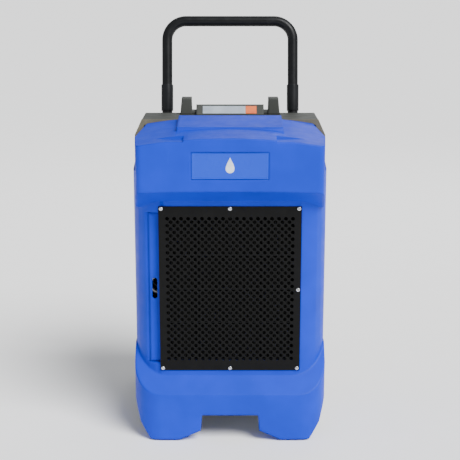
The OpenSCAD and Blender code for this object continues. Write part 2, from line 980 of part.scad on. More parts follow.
module electrical_box() {
    color("lightgray")
        difference() {
            block([-ebox_half, ebox_y0, frame_top], [ebox_half, ebox_y1, frame_top + ebox_h]);
            block([-ebox_half + ebox_wall, ebox_y0 + ebox_wall, frame_top + ebox_wall],
                [ebox_half - ebox_wall, ebox_y1 - ebox_wall, frame_top + ebox_h + eps]);
        }
}

module electrical_lid() {
    color("silver")
        block([-ebox_half, ebox_y0, frame_top + ebox_h], [ebox_half, ebox_y1, frame_top + ebox_h + 1.5]);
}

module capacitor() {
    color("silver")
        translate([-110, ebox_y0 + 34, frame_top + ebox_wall])
            union() {
                cylinder(r = 22, h = 82);
                for (x = [-8, 8])
                    translate([x, -1, 81])
                        cube([2, 6, 9]);
            }
}

module control_board() {
    z = frame_top + ebox_wall;
    color("seagreen")
        union() {
            block([-60, ebox_y0 + 16, z + 6], [130, ebox_y1 - 16, z + 7.6]);
            for (x = [-54, 124], y = [ebox_y0 + 22, ebox_y1 - 22])
                translate([x, y, z])
                    cylinder(r = 3, h = 7);
            block([-40, ebox_y0 + 30, z + 7], [-8, ebox_y0 + 62, z + 30]);
            block([20, ebox_y0 + 30, z + 7], [40, ebox_y0 + 48, z + 24]);
            block([60, ebox_y0 + 60, z + 7], [110, ebox_y0 + 74, z + 18]);
        }
}

module cable_gland() {
    y = upper_rear_depth;
    color("black")
        difference() {
            union() {
                along_y(gland_x, y - wall - 6, gland_z, gland_r, 34);
                translate([gland_x, y, gland_z])
                    rotate([-90, 0, 0])
                        cylinder(r = gland_r + 4, h = 7, $fn = 6);
                translate([gland_x, y - wall - 5, gland_z])
                    rotate([-90, 0, 0])
                        cylinder(r = gland_r + 4, h = 5, $fn = 6);
            }
            along_y(gland_x, y - wall - 7, gland_z, gland_bore, 36);
        }
}

module power_switch() {
    y = upper_rear_depth;
    color("black")
        difference() {
            union() {
                block([switch_x - 17, y, gland_z - 13], [switch_x + 17, y + 2, gland_z + 13]);
                block([switch_x - 13.8, y - 18, gland_z - 9.8], [switch_x + 13.8, y + eps, gland_z + 9.8]);
            }
            block([switch_x - 11, y - 9, gland_z - 7], [switch_x + 11, y + 3, gland_z + 7]);
            along_x(switch_x - 12.5, y - 3, gland_z, 1.5 + run_gap, 25);
        }
}

module switch_rocker() {
    y = upper_rear_depth;
    color("firebrick")
        union() {
            intersection() {
                block([switch_x - 10.5, y - 6, gland_z - 6.3], [switch_x + 10.5, y + 6, gland_z + 6.3]);
                along_x(switch_x - 11, y - 3, gland_z, 6.6, 22);
            }
            along_x(switch_x - 12.3, y - 3, gland_z, 1.5, 24.6);
        }
}

module exhaust_grille() {
    slots = 9;
    pitch = (ex_z1 - ex_z0 - 36) / slots;
    color("black")
        difference() {
            block([-ex_half, rear_depth, ex_z0], [ex_half, rear_depth + ex_t, ex_z1]);
            for (i = [0:slots - 1], side = [-1, 0, 1])
                block([side * 72 - 32, rear_depth - eps, ex_z0 + 18 + (i + 0.2) * pitch],
                    [side * 72 + 32, rear_depth + 3, ex_z0 + 18 + (i + 0.8) * pitch]);
            at_exhaust_screws()
                along_y(0, rear_depth - eps, 0, screw_r + 0.2, 4);
        }
}

// A screw that enters from the back
module back_screw(y0, len) {
    along_y(0, y0 - len, 0, screw_r, len + eps);
    along_y(0, y0, 0, head_r, head_h);
}

module exhaust_screws() {
    color("silver")
        at_exhaust_screws()
            back_screw(rear_depth + ex_t, 9);
}

// ---- controls on the deck

// Places children on the sloped rear face of the bridge, with +Z out of the face
module on_slope(x, depth = 0) {
    translate([x, (peak_y1 + upper_rear_depth) / 2, deck_z + bridge_h - slope_drop / 2])
        rotate([-panel_tilt, 0, 0])
            translate([0, 0, -depth])
                children();
}

module control_housing() {
    profile = [[bridge_y0, deck_z], [peak_y0, deck_z + bridge_h], [peak_y1, deck_z + bridge_h],
        [upper_rear_depth, deck_z + bridge_h - slope_drop], [upper_rear_depth, deck_z]];
    tower = [[tower_in, 0], [tower_in + 1, tower_h], [tower_out - 1, tower_h], [tower_out + 2, 6],
        [tower_out + 4, 0]];
    color("dimgray")
        difference() {
            union() {
                translate([-bridge_half, 0, 0])
                    rotate([90, 0, 90])
                        linear_extrude(2 * bridge_half)
                            polygon(profile);
                mirrored()
                    translate([0, upper_rear_depth, deck_z])
                        rotate([90, 0, 0])
                            linear_extrude(upper_rear_depth - tower_y0)
                                polygon(tower);
                block([-tower_in - 1, tower_y0 + 2, deck_z], [tower_in + 1, upper_rear_depth - 9, deck_z + 9]);
            }
            for (x = button_x)
                on_slope(x, button_len + 2)
                    cylinder(r = button_d / 2 + slide_gap, h = 30);
            on_slope(-38, 1.2)
                block([-20.2, -7.2, 0], [20.2, 7.2, 20]);
        }
}

module control_panel() {
    color("black")
        difference() {
            on_slope(0)
                block([-overlay_half, -slope_len / 2 + 2, 0], [overlay_half, slope_len / 2 - 2, overlay_t]);
            for (x = button_x)
                on_slope(x, eps)
                    cylinder(r = button_d / 2 + slide_gap, h = 5);
            on_slope(-38, eps)
                block([-20.2, -7.2, 0], [20.2, 7.2, 5]);
        }
}

module display_lens() {
    color("darkgreen")
        on_slope(-38, 1.2)
            block([-20, -7, 0], [20, 7, 2.6]);
}

module button(i) {
    color(i == 0 ? "limegreen" : "gainsboro")
        on_slope(button_x[i], button_len)
            cylinder(r = button_d / 2, h = button_len + overlay_t + 2);
}

module button_1() { button(0); }
module button_2() { button(1); }
module button_3() { button(2); }
module button_4() { button(3); }

// A thin plate on the front slope of the bridge, from x0 to x1
module slope_plate(x0, x1, t) {
    translate([0, (bridge_y0 + peak_y0) / 2, deck_z + bridge_h / 2])
        rotate([atan(bridge_h / (peak_y0 - bridge_y0)), 0, 0])
            block([x0, -11, 0], [x1, 11, t]);
}

module front_label() {
    color("lightsteelblue")
        slope_plate(-63.7, 36.2, 0.8);
}

module label_tile() {
    color("coral")
        slope_plate(36.4, 62, 0.8);
}

// ---- handle

module handle_brackets() {
    color("dimgray")
        for (side = [-1, 1], ear = [-1, 1])
            translate([side * leg_x, 0, 0])
                difference() {
                    union() {
                        block([ear > 0 ? ear_in : -ear_in - ear_t, upper_rear_depth, pivot_z - 36],
                            [ear > 0 ? ear_in + ear_t : -ear_in, pivot_y, pivot_z + pivot_out]);
                        translate([ear > 0 ? ear_in : -ear_in - ear_t, pivot_y, pivot_z])
                            rotate([0, 90, 0])
                                cylinder(r = pivot_out, h = ear_t);
                        block([ear > 0 ? ear_in : -32, upper_rear_depth, pivot_z - 36],
                            [ear > 0 ? 32 : -ear_in, upper_rear_depth + 3, pivot_z - 14]);
                    }
                    along_x(-40, pivot_y, pivot_z, pivot_r + run_gap, 80);
                    for (x = [-24, 24], z = ear_screw_z)
                        along_y(x, upper_rear_depth - eps, pivot_z + z, screw_r + 0.2, 8);
                }
}

module bracket_screws() {
    color("silver")
        at_bracket_screws()
            back_screw(upper_rear_depth + 3, 9);
}

module pivot_bolts() {
    reach = ear_in + ear_t;
    color("silver")
        for (side = [-1, 1])
            translate([side * leg_x, 0, 0]) {
                along_x(side > 0 ? -reach : -reach - knob_len + 4, pivot_y, pivot_z, pivot_r, 2 * reach + knob_len - 4);
                translate([side > 0 ? -reach - 6 : reach, pivot_y, pivot_z])
                    rotate([0, 90, 0])
                        cylinder(r = 9, h = 6, $fn = 6);
            }
}

// The bent tube in its own frame: pivot at the origin, legs along +Z
module bent_tube(r) {
    leg = handle_len - handle_r;
    for (side = [-1, 1]) {
        translate([side * leg_x, 0, 0])
            cylinder(r = r, h = leg);
        translate([side * (leg_x - handle_r), 0, leg])
            rotate([90, 0, 0])
                rotate([0, 0, side > 0 ? 0 : 90])
                    rotate_extrude(angle = 90, $fn = 64)
                        translate([handle_r, 0])
                            circle(r = r, $fn = 48);
    }
    along_x(-leg_x + handle_r, 0, handle_len, r, 2 * (leg_x - handle_r));
}

module at_handle() {
    translate([0, pivot_y, pivot_z])
        rotate([-handle_lean, 0, 0])
            children();
}

module handle_loop() {
    color("black")
        at_handle()
            difference() {
                union() {
                    bent_tube(tube_r);
                    for (side = [-1, 1])
                        along_x(side * leg_x - tube_r, 0, 0, tube_r, tube_d);
                }
                difference() {
                    bent_tube(tube_r - tube_wall);
                    block([-leg_x - 20, -20, -20], [leg_x + 20, 20, 14]);
                }
                along_x(-leg_x - 30, 0, 0, pivot_r + run_gap, leg_span + 60);
            }
}

module handle_sleeves() {
    color("black")
        at_handle()
            for (side = [-1, 1])
                translate([side * leg_x, 0, 46])
                    difference() {
                        cylinder(r = tube_r + 1.8, h = 62);
                        translate([0, 0, -eps])
                            cylinder(r = tube_r + run_gap, h = 64);
                    }
}

module knob(side) {
    x0 = leg_x + ear_in + ear_t + 0.3;
    color("black")
            difference() {
                union() {
                    along_x(side > 0 ? x0 : -x0 - knob_len, pivot_y, pivot_z, knob_r - 1.6, knob_len);
                    for (a = [0:45:315])
                        translate([0, pivot_y, pivot_z])
                            rotate([a, 0, 0])
                                along_x(side > 0 ? x0 + 2 : -x0 - knob_len + 2, 0, knob_r - 2.6, 2.6, knob_len - 4);
                }
                along_x(side > 0 ? x0 - eps : -x0 - knob_len + 4, pivot_y, pivot_z, pivot_r + run_gap, knob_len - 3);
            }
}

module knob_left() { knob(-1); }
module knob_right() { knob(1); }

// ---- wheels

module axle() {
    color("silver")
        along_x(-wheel_x0 - wheel_w - 3, wheel_y, wheel_r, axle_r, 2 * (wheel_x0 + wheel_w + 3));
}

module tyre(side) {
    x0 = side > 0 ? wheel_x0 : -wheel_x0 - wheel_w;
    edge = 5;
    profile = [[hub_r + run_gap, 0], [wheel_r - edge, 0], [wheel_r, edge],
        [wheel_r, wheel_w - edge], [wheel_r - edge, wheel_w], [hub_r + run_gap, wheel_w]];
    color("black")
        translate([x0, wheel_y, wheel_r])
            rotate([0, 90, 0])
                rotate_extrude($fn = 96)
                    polygon(profile);
}

module hub(side) {
    x0 = side > 0 ? wheel_x0 : -wheel_x0 - wheel_w;
    rim = 4;
    web = 8;
    bore = axle_r + run_gap;
    profile = [[bore, 0], [14, 0], [14, wheel_w / 2 - web / 2], [hub_r - rim, wheel_w / 2 - web / 2],
        [hub_r - rim, 2], [hub_r, 2], [hub_r, wheel_w - 2], [hub_r - rim, wheel_w - 2],
        [hub_r - rim, wheel_w / 2 + web / 2], [14, wheel_w / 2 + web / 2], [14, wheel_w], [bore, wheel_w]];
    color("gray")
        translate([x0, wheel_y, wheel_r])
            rotate([0, 90, 0])
                rotate_extrude($fn = 96)
                    polygon(profile);
}

module tyre_left() { tyre(-1); }
module hub_left() { hub(-1); }
module tyre_right() { tyre(1); }
module hub_right() { hub(1); }

module axle_caps() {
    color("silver")
        for (side = [-1, 1]) {
            x = wheel_x0 + wheel_w + 0.6;
            difference() {
                along_x(side > 0 ? x : -x - 4, wheel_y, wheel_r, 12, 4);
                along_x(side > 0 ? x - eps : -x - 2.6, wheel_y, wheel_r, axle_r + run_gap, 2.6 + eps);
            }
        }
}

front_shell();
rear_shell();
seam_gasket();
base_pan();
foot_pads();
badge_plate();
intake_grille();
grille_screws();
filter_rails();
filter_frame();
filter_media();
coil_frame();
evaporator_coil();
condenser_coil();
drip_tray();
fan_shroud();
motor_bracket();
fan_motor();
fan_blade();
compressor();
compressor_mounts();
accumulator();
refrigerant_pipes();
filter_drier();
condensate_reservoir();
condensate_pump();
float();
drain_hose();
drain_outlet();
electrical_box();
electrical_lid();
capacitor();
control_board();
exhaust_grille();
exhaust_screws();
cable_gland();
power_switch();
switch_rocker();
control_housing();
control_panel();
display_lens();
button_1();
button_2();
button_3();
button_4();
front_label();
label_tile();
handle_brackets();
bracket_screws();
pivot_bolts();
handle_loop();
handle_sleeves();
knob_left();
knob_right();
axle();
tyre_left();
hub_left();
tyre_right();
hub_right();
axle_caps();
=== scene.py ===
"""Looks of a portable commercial dehumidifier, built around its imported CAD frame."""
import json

import bmesh
import bpy
import numpy as np
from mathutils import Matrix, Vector


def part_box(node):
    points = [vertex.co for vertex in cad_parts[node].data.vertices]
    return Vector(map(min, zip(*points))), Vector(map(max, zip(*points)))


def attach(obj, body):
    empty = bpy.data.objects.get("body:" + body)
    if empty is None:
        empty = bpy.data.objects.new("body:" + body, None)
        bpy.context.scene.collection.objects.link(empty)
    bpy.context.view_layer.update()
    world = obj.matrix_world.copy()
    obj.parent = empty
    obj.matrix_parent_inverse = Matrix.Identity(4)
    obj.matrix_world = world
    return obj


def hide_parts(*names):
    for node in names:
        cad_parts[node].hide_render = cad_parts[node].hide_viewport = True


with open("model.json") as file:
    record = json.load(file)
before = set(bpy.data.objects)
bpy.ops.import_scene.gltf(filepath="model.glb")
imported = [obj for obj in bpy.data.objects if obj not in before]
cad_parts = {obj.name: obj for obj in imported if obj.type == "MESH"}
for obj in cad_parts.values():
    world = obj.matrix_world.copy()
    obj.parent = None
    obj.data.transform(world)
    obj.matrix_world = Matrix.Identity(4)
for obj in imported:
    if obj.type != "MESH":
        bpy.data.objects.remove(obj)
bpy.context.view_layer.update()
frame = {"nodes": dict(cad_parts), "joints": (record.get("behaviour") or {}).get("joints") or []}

bl_info = {
    "name": "Dehumidifier looks",
    "version": (1, 0, 0),
    "blender": (4, 5, 0),
    "location": "View3D > Sidebar > Dehumidifier",
    "description": "Moulded shells, perforated screen, tube handle and studio for a dehumidifier",
    "category": "Object",
}

MM = 0.001
TAU = 2 * np.pi
WELD = 2e-5                     # points of a CAD mesh nearer than this are one point, in metres
FLAT_TURN = np.radians(0.6)     # faces that turn by less than this are one flat face
SHARP_TURN = np.radians(24)     # edges that turn by more than this are rounded
LARGE_RADIUS = 3.0              # mm; from here up only edges with room beside them are rounded


# ---------------------------------------------------------------- small helpers

def linear(code):
    """Turns an sRGB hex value such as 2F6BE6 into a linear colour with alpha 1."""
    c = np.array([int(code[i:i + 2], 16) for i in (0, 2, 4)]) / 255
    c = np.where(c <= 0.04045, c / 12.92, ((c + 0.055) / 1.055) ** 2.4)
    return (*c.tolist(), 1.0)


def node_box(*names):
    """Lowest and highest corners of one or more CAD nodes together."""
    boxes = [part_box(n) for n in names]
    lo = np.min([np.array(b[0]) for b in boxes], axis=0)
    hi = np.max([np.array(b[1]) for b in boxes], axis=0)
    return lo, hi


def new_mesh(name, points, faces, body, replaced=(), material=None, slot=None, smooth=True):
    """Makes a mesh object from arrays of points and faces, and lets it ride on a body."""
    mesh = bpy.data.meshes.new(name)
    mesh.from_pydata(np.asarray(points, float).reshape(-1, 3), [], np.asarray(faces).tolist())
    mesh.update()
    if smooth:
        mesh.polygons.foreach_set("use_smooth", np.ones(len(mesh.polygons), bool))
    obj = bpy.data.objects.new(name, mesh)
    bpy.context.scene.collection.objects.link(obj)
    if material:
        mesh.materials.append(material)
    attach(obj, body)
    for node in replaced:
        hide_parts(node)
    return obj


def grid_faces(rows, cols, wrap_rows=False, wrap_cols=False, offset=0):
    """Quads of a rows by cols grid of points, joined round where an axis wraps."""
    i = np.arange(rows if wrap_rows else rows - 1)
    j = np.arange(cols if wrap_cols else cols - 1)
    i, j = np.meshgrid(i, j, indexing="ij")
    i1, j1 = (i + 1) % rows, (j + 1) % cols
    quads = np.stack([i * cols + j, i * cols + j1, i1 * cols + j1, i1 * cols + j], axis=-1)
    return quads.reshape(-1, 4) + offset


def square_to(axis):
    """Two unit directions at right angles to a unit axis and to each other."""
    side = np.array([1.0, 0, 0]) if abs(axis[0]) < 0.9 else np.array([0, 1.0, 0])
    e1 = np.cross(side, axis)
    e1 /= np.linalg.norm(e1)
    return e1, np.cross(axis, e1)


def slab(front, back):
    """Joins two equal grids of points, one behind the other, by a strip of quads round their border."""
    rows, cols = front.shape[:2]
    count = rows * cols
    sheet = grid_faces(rows, cols)
    border = np.concatenate([np.arange(cols), cols - 1 + cols * np.arange(1, rows),
                             (rows - 1) * cols + np.arange(cols - 2, -1, -1),
                             cols * np.arange(rows - 2, 0, -1)])
    after = np.roll(border, -1)
    strip = np.stack([border, border + count, after + count, after], -1)
    points = np.concatenate([front.reshape(-1, 3), back.reshape(-1, 3)])
    return points, np.concatenate([sheet, sheet[:, ::-1] + count, strip])


def revolve(profile, centre, axis, sides, ripple=None):
    """Carries a closed profile of (radius, height) round an axis: point = centre + r cos t e1 +
    r sin t e2 + h axis. ripple(t, r, h) may change the radius. The profile runs up the outside."""
    profile = np.asarray(profile, float)
    axis = np.asarray(axis, float) / np.linalg.norm(axis)
    e1, e2 = square_to(axis)
    t = np.linspace(0, TAU, sides, endpoint=False)[:, None]
    r, h = profile[None, :, 0], profile[None, :, 1]
    if ripple is not None:
        r = ripple(t, r, h)
    points = (np.asarray(centre)[None, None] + (r * np.cos(t))[..., None] * e1
              + (r * np.sin(t))[..., None] * e2 + (h + 0 * t)[..., None] * axis)
    return points.reshape(-1, 3), grid_faces(sides, len(profile), wrap_rows=True)


def join(parts):
    """Joins several (points, faces) pairs into one pair."""
    points, faces, n = [], [], 0
    for p, f in parts:
        points.append(np.asarray(p).reshape(-1, 3))
        faces.append(np.asarray(f) + n)
        n += len(points[-1])
    return np.concatenate(points), np.concatenate(faces)


def tidy_mesh(obj, merge=1e-6):
    """Merges doubled points, drops flat faces and turns every face outwards."""
    b = bmesh.new()
    b.from_mesh(obj.data)
    bmesh.ops.remove_doubles(b, verts=b.verts, dist=merge)
    bmesh.ops.dissolve_degenerate(b, dist=merge, edges=b.edges)
    bmesh.ops.recalc_face_normals(b, faces=b.faces)
    b.to_mesh(obj.data)
    b.free()
    return obj


def rounded_line(points, radius, steps=6):
    """Replaces each inner corner q of a polyline by the curve (1-s)^2 a + 2s(1-s) q + s^2 b, whose ends
    a and b lie the radius away from q, or just under half the shorter side."""
    points = [np.asarray(p, float) for p in points]
    out = [points[0]]
    for k in range(1, len(points) - 1):
        p, q, r = points[k - 1], points[k], points[k + 1]
        d0, d1 = p - q, r - q
        cut = min(radius, 0.49 * np.linalg.norm(d0), 0.49 * np.linalg.norm(d1))
        a = q + d0 / np.linalg.norm(d0) * cut
        b = q + d1 / np.linalg.norm(d1) * cut
        s = np.linspace(0, 1, steps + 1)[:, None]
        out.extend((1 - s) ** 2 * a + 2 * s * (1 - s) * q + s ** 2 * b)
    out.append(points[-1])
    return np.array(out)


# ---------------------------------------------------------------- materials

def add_node(tree, kind, settings=None, **links):
    """Adds one node, sets its fields and sockets, and links the sockets named in links."""
    node = tree.nodes.new(kind)
    for key, value in (settings or {}).items():
        if isinstance(key, str) and hasattr(node, key) and key not in node.inputs:
            setattr(node, key, value)
        else:
            node.inputs[key].default_value = value
    for key, source in links.items():
        tree.links.new(source, node.inputs[key])
    return node


def start_material(name, colour, rough, metal=0.0, ior=1.5, **more):
    """A Principled material with its constants on the shader's own sockets."""
    m = bpy.data.materials.new(name)
    m.use_nodes = True
    tree = m.node_tree
    shader = tree.nodes["Principled BSDF"]
    shader.inputs["Base Color"].default_value = linear(colour)
    shader.inputs["Roughness"].default_value = rough
    shader.inputs["Metallic"].default_value = metal
    shader.inputs["IOR"].default_value = ior
    for key, value in more.items():
        shader.inputs[key].default_value = value
    m.diffuse_color = linear(colour)
    coords = add_node(tree, "ShaderNodeTexCoord")
    return m, tree, shader, coords.outputs["Object"]


def pattern(tree, coords, size_mm, detail=3.0, stretch=(1, 1, 1), rough=0.55):
    """Noise whose grain is about size_mm across; stretch shortens it along an axis."""
    place = add_node(tree, "ShaderNodeMapping", {"Scale": stretch}, Vector=coords)
    noise = add_node(tree, "ShaderNodeTexNoise",
                     {"Scale": 1000.0 / size_mm, "Detail": detail, "Roughness": rough},
                     Vector=place.outputs[0])
    return noise.outputs[0]


def levels(tree, source, low, high, to_low, to_high):
    """Maps low..high of a value to to_low..to_high, clamped."""
    return add_node(tree, "ShaderNodeMapRange",
                    {1: low, 2: high, 3: to_low, 4: to_high}, Value=source).outputs[0]


def blend_colour(tree, factor, a, b):
    """Mixes two hex colours, or a socket and a hex colour, by a factor socket."""
    mix = add_node(tree, "ShaderNodeMix", {"data_type": "RGBA"})
    tree.links.new(factor, mix.inputs[0])
    for k, value in ((6, a), (7, b)):
        if isinstance(value, str):
            mix.inputs[k].default_value = linear(value)
        else:
            tree.links.new(value, mix.inputs[k])
    return mix.outputs[2]


def bump(tree, shader, layers, edge_mm=0.0):
    """Chains bumps of (height socket, depth in mm, strength) into the shader's normal. edge_mm turns the
    normal over edges first, as the radius of a mould's corner does."""
    normal = None
    if edge_mm:
        corner = add_node(tree, "ShaderNodeBevel", {"Radius": edge_mm * MM, "samples": 8})
        normal = corner.outputs[0]
    for height, depth_mm, strength in layers:
        node = add_node(tree, "ShaderNodeBump", {"Strength": strength, "Distance": depth_mm * MM})
        tree.links.new(height, node.inputs["Height"])
        if normal is not None:
            tree.links.new(normal, node.inputs["Normal"])
        normal = node.outputs[0]
    tree.links.new(normal, shader.inputs["Normal"])


def moulded(name, colour, shade, worn, rough=0.42, grain=1.3, grain_depth=0.05, wave=0.10, coat=0.0,
            edge=0.0):
    """Moulded plastic: a fine leather grain, slow colour drift from the mould, faint rub marks and
    dust. grain, grain_depth, wave and edge are in mm."""
    m, tree, shader, at = start_material(name, colour, rough, **{
        "Specular IOR Level": 0.14, "Coat Weight": coat, "Coat Roughness": 0.28})
    drift = levels(tree, pattern(tree, at, 90, 2.0), 0.35, 0.65, 0.0, 0.45)
    flecks = levels(tree, pattern(tree, at, 2.2, 4.0), 0.62, 0.72, 0.0, 0.35)
    base = blend_colour(tree, drift, colour, shade)
    rubs = levels(tree, pattern(tree, at, 9, 5.0, (1, 1, 0.12)), 0.68, 0.80, 0.0, 0.25)
    base = blend_colour(tree, rubs, base, worn)
    base = blend_colour(tree, flecks, base, shade)
    tree.links.new(base, shader.inputs["Base Color"])
    gloss = levels(tree, pattern(tree, at, 26, 4.0), 0.3, 0.7, rough - 0.06, rough + 0.09)
    tree.links.new(gloss, shader.inputs["Roughness"])
    bump(tree, shader, [(pattern(tree, at, 60, 1.0), wave * 6, 0.25),
                        (pattern(tree, at, grain, 3.0), grain_depth, 0.55)], edge)
    return m


def powder_coat(name, colour, light, rough=0.38):
    """Powder coat on steel: orange peel a millimetre or so across, tiny sparkle and rubbed patches."""
    m, tree, shader, at = start_material(name, colour, rough, **{"Specular IOR Level": 0.16})
    speck = levels(tree, pattern(tree, at, 0.9, 2.0), 0.6, 0.75, 0.0, 0.5)
    rub = levels(tree, pattern(tree, at, 34, 5.0), 0.58, 0.74, 0.0, 0.35)
    base = blend_colour(tree, speck, colour, light)
    base = blend_colour(tree, rub, base, light)
    tree.links.new(base, shader.inputs["Base Color"])
    gloss = levels(tree, pattern(tree, at, 18, 4.0), 0.3, 0.7, rough - 0.05, rough + 0.12)
    tree.links.new(gloss, shader.inputs["Roughness"])
    bump(tree, shader, [(pattern(tree, at, 1.1, 2.0), 0.05, 0.5)])
    return m


def bare_metal(name, colour, dull, rough=0.28, grain=(1, 1, 0.05), grain_mm=1.2):
    """Bare or plated metal: fine lines from drawing or brushing, and duller patches of oxide."""
    m, tree, shader, at = start_material(name, colour, rough, metal=1.0)
    patch = levels(tree, pattern(tree, at, 14, 4.0), 0.4, 0.7, 0.0, 0.8)
    tree.links.new(blend_colour(tree, patch, colour, dull), shader.inputs["Base Color"])
    lines = pattern(tree, at, grain_mm, 3.0, grain)
    gloss = levels(tree, lines, 0.3, 0.7, rough - 0.08, rough + 0.14)
    tree.links.new(gloss, shader.inputs["Roughness"])
    bump(tree, shader, [(lines, 0.02, 0.35)])
    return m


def rubber(name, colour, dust, rough=0.72, grain=1.6):
    """Moulded rubber: matt, finely pitted, with patches of pale dust."""
    m, tree, shader, at = start_material(name, colour, rough, ior=1.52)
    pits = pattern(tree, at, grain, 4.0)
    dusty = levels(tree, pattern(tree, at, 22, 5.0), 0.5, 0.75, 0.0, 0.45)
    tree.links.new(blend_colour(tree, dusty, colour, dust), shader.inputs["Base Color"])
    gloss = levels(tree, pits, 0.3, 0.7, rough - 0.08, rough + 0.1)
    tree.links.new(gloss, shader.inputs["Roughness"])
    bump(tree, shader, [(pits, 0.08, 0.6)])
    return m


def foil(name, colour, shade, rough=0.34, metal=0.6):
    """Printed polyester foil: satin, with a fine linen emboss half a millimetre apart."""
    m, tree, shader, at = start_material(name, colour, rough, metal=metal)
    wave_x = add_node(tree, "ShaderNodeTexWave",
                      {"Scale": 90.0, "Distortion": 0.6, "bands_direction": "X"}, Vector=at).outputs[1]
    drift = levels(tree, pattern(tree, at, 30, 3.0), 0.35, 0.65, 0.0, 1.0)
    tree.links.new(blend_colour(tree, drift, colour, shade), shader.inputs["Base Color"])
    bump(tree, shader, [(wave_x, 0.02, 0.3), (pattern(tree, at, 0.8, 2.0), 0.02, 0.3)])
    return m


def filter_mat(name, colour, dust):
    """Pleated polyester mat: tangled fibres about half a millimetre thick, with caught dust. The colours it
    is given are near black, darker than the mat's own grey: painted shade for the dark inside behind the
    screen.
    """
    m, tree, shader, at = start_material(name, colour, 0.92, **{"Specular IOR Level": 0.1})
    fibre = pattern(tree, at, 1.4, 6.0, (1, 1, 0.35), 0.75)
    caught = levels(tree, pattern(tree, at, 25, 4.0), 0.35, 0.7, 0.0, 0.8)
    tree.links.new(blend_colour(tree, caught, colour, dust), shader.inputs["Base Color"])
    shader.inputs["Sheen Weight"].default_value = 0.05
    bump(tree, shader, [(fibre, 0.3, 0.8)])
    return m


def finned_coil(name, colour, shade):
    """Aluminium fins on copper tube, mill finish with faint rolling lines and water stains."""
    m, tree, shader, at = start_material(name, colour, 0.38, metal=1.0)
    stain = levels(tree, pattern(tree, at, 30, 5.0), 0.45, 0.7, 0.0, 0.8)
    tree.links.new(blend_colour(tree, stain, colour, shade), shader.inputs["Base Color"])
    bump(tree, shader, [(pattern(tree, at, 1.0, 2.0, (1, 0.1, 1)), 0.03, 0.4)])
    return m


def circuit_board(name):
    """Glass-fibre board: green solder resist with paler copper tracks on a 2.5 mm grid."""
    m, tree, shader, at = start_material(name, "0F5A2A", 0.35)
    brick = add_node(tree, "ShaderNodeTexBrick", {"Scale": 110.0, "Mortar Size": 0.03,
                                                 "Color1": linear("0F5A2A"), "Color2": linear("125E30"),
                                                 "Mortar": linear("3E9A4C")}, Vector=at)
    tree.links.new(brick.outputs[0], shader.inputs["Base Color"])
    bump(tree, shader, [(brick.outputs[1], 0.05, 0.4)])
    return m


def smoked_lens(name):
    """Smoked polycarbonate: hard and glossy, with hairline scratches."""
    m, tree, shader, at = start_material(name, "101A16", 0.08, ior=1.58, **{"Coat Weight": 0.6})
    hair = pattern(tree, at, 0.9, 4.0, (1, 0.08, 1))
    tree.links.new(levels(tree, hair, 0.55, 0.7, 0.08, 0.26), shader.inputs["Roughness"])
    glow = levels(tree, pattern(tree, at, 12, 1.0), 0.4, 0.6, 0.0, 0.5)
    tree.links.new(blend_colour(tree, glow, "101A16", "1B3A2C"), shader.inputs["Base Color"])
    return m


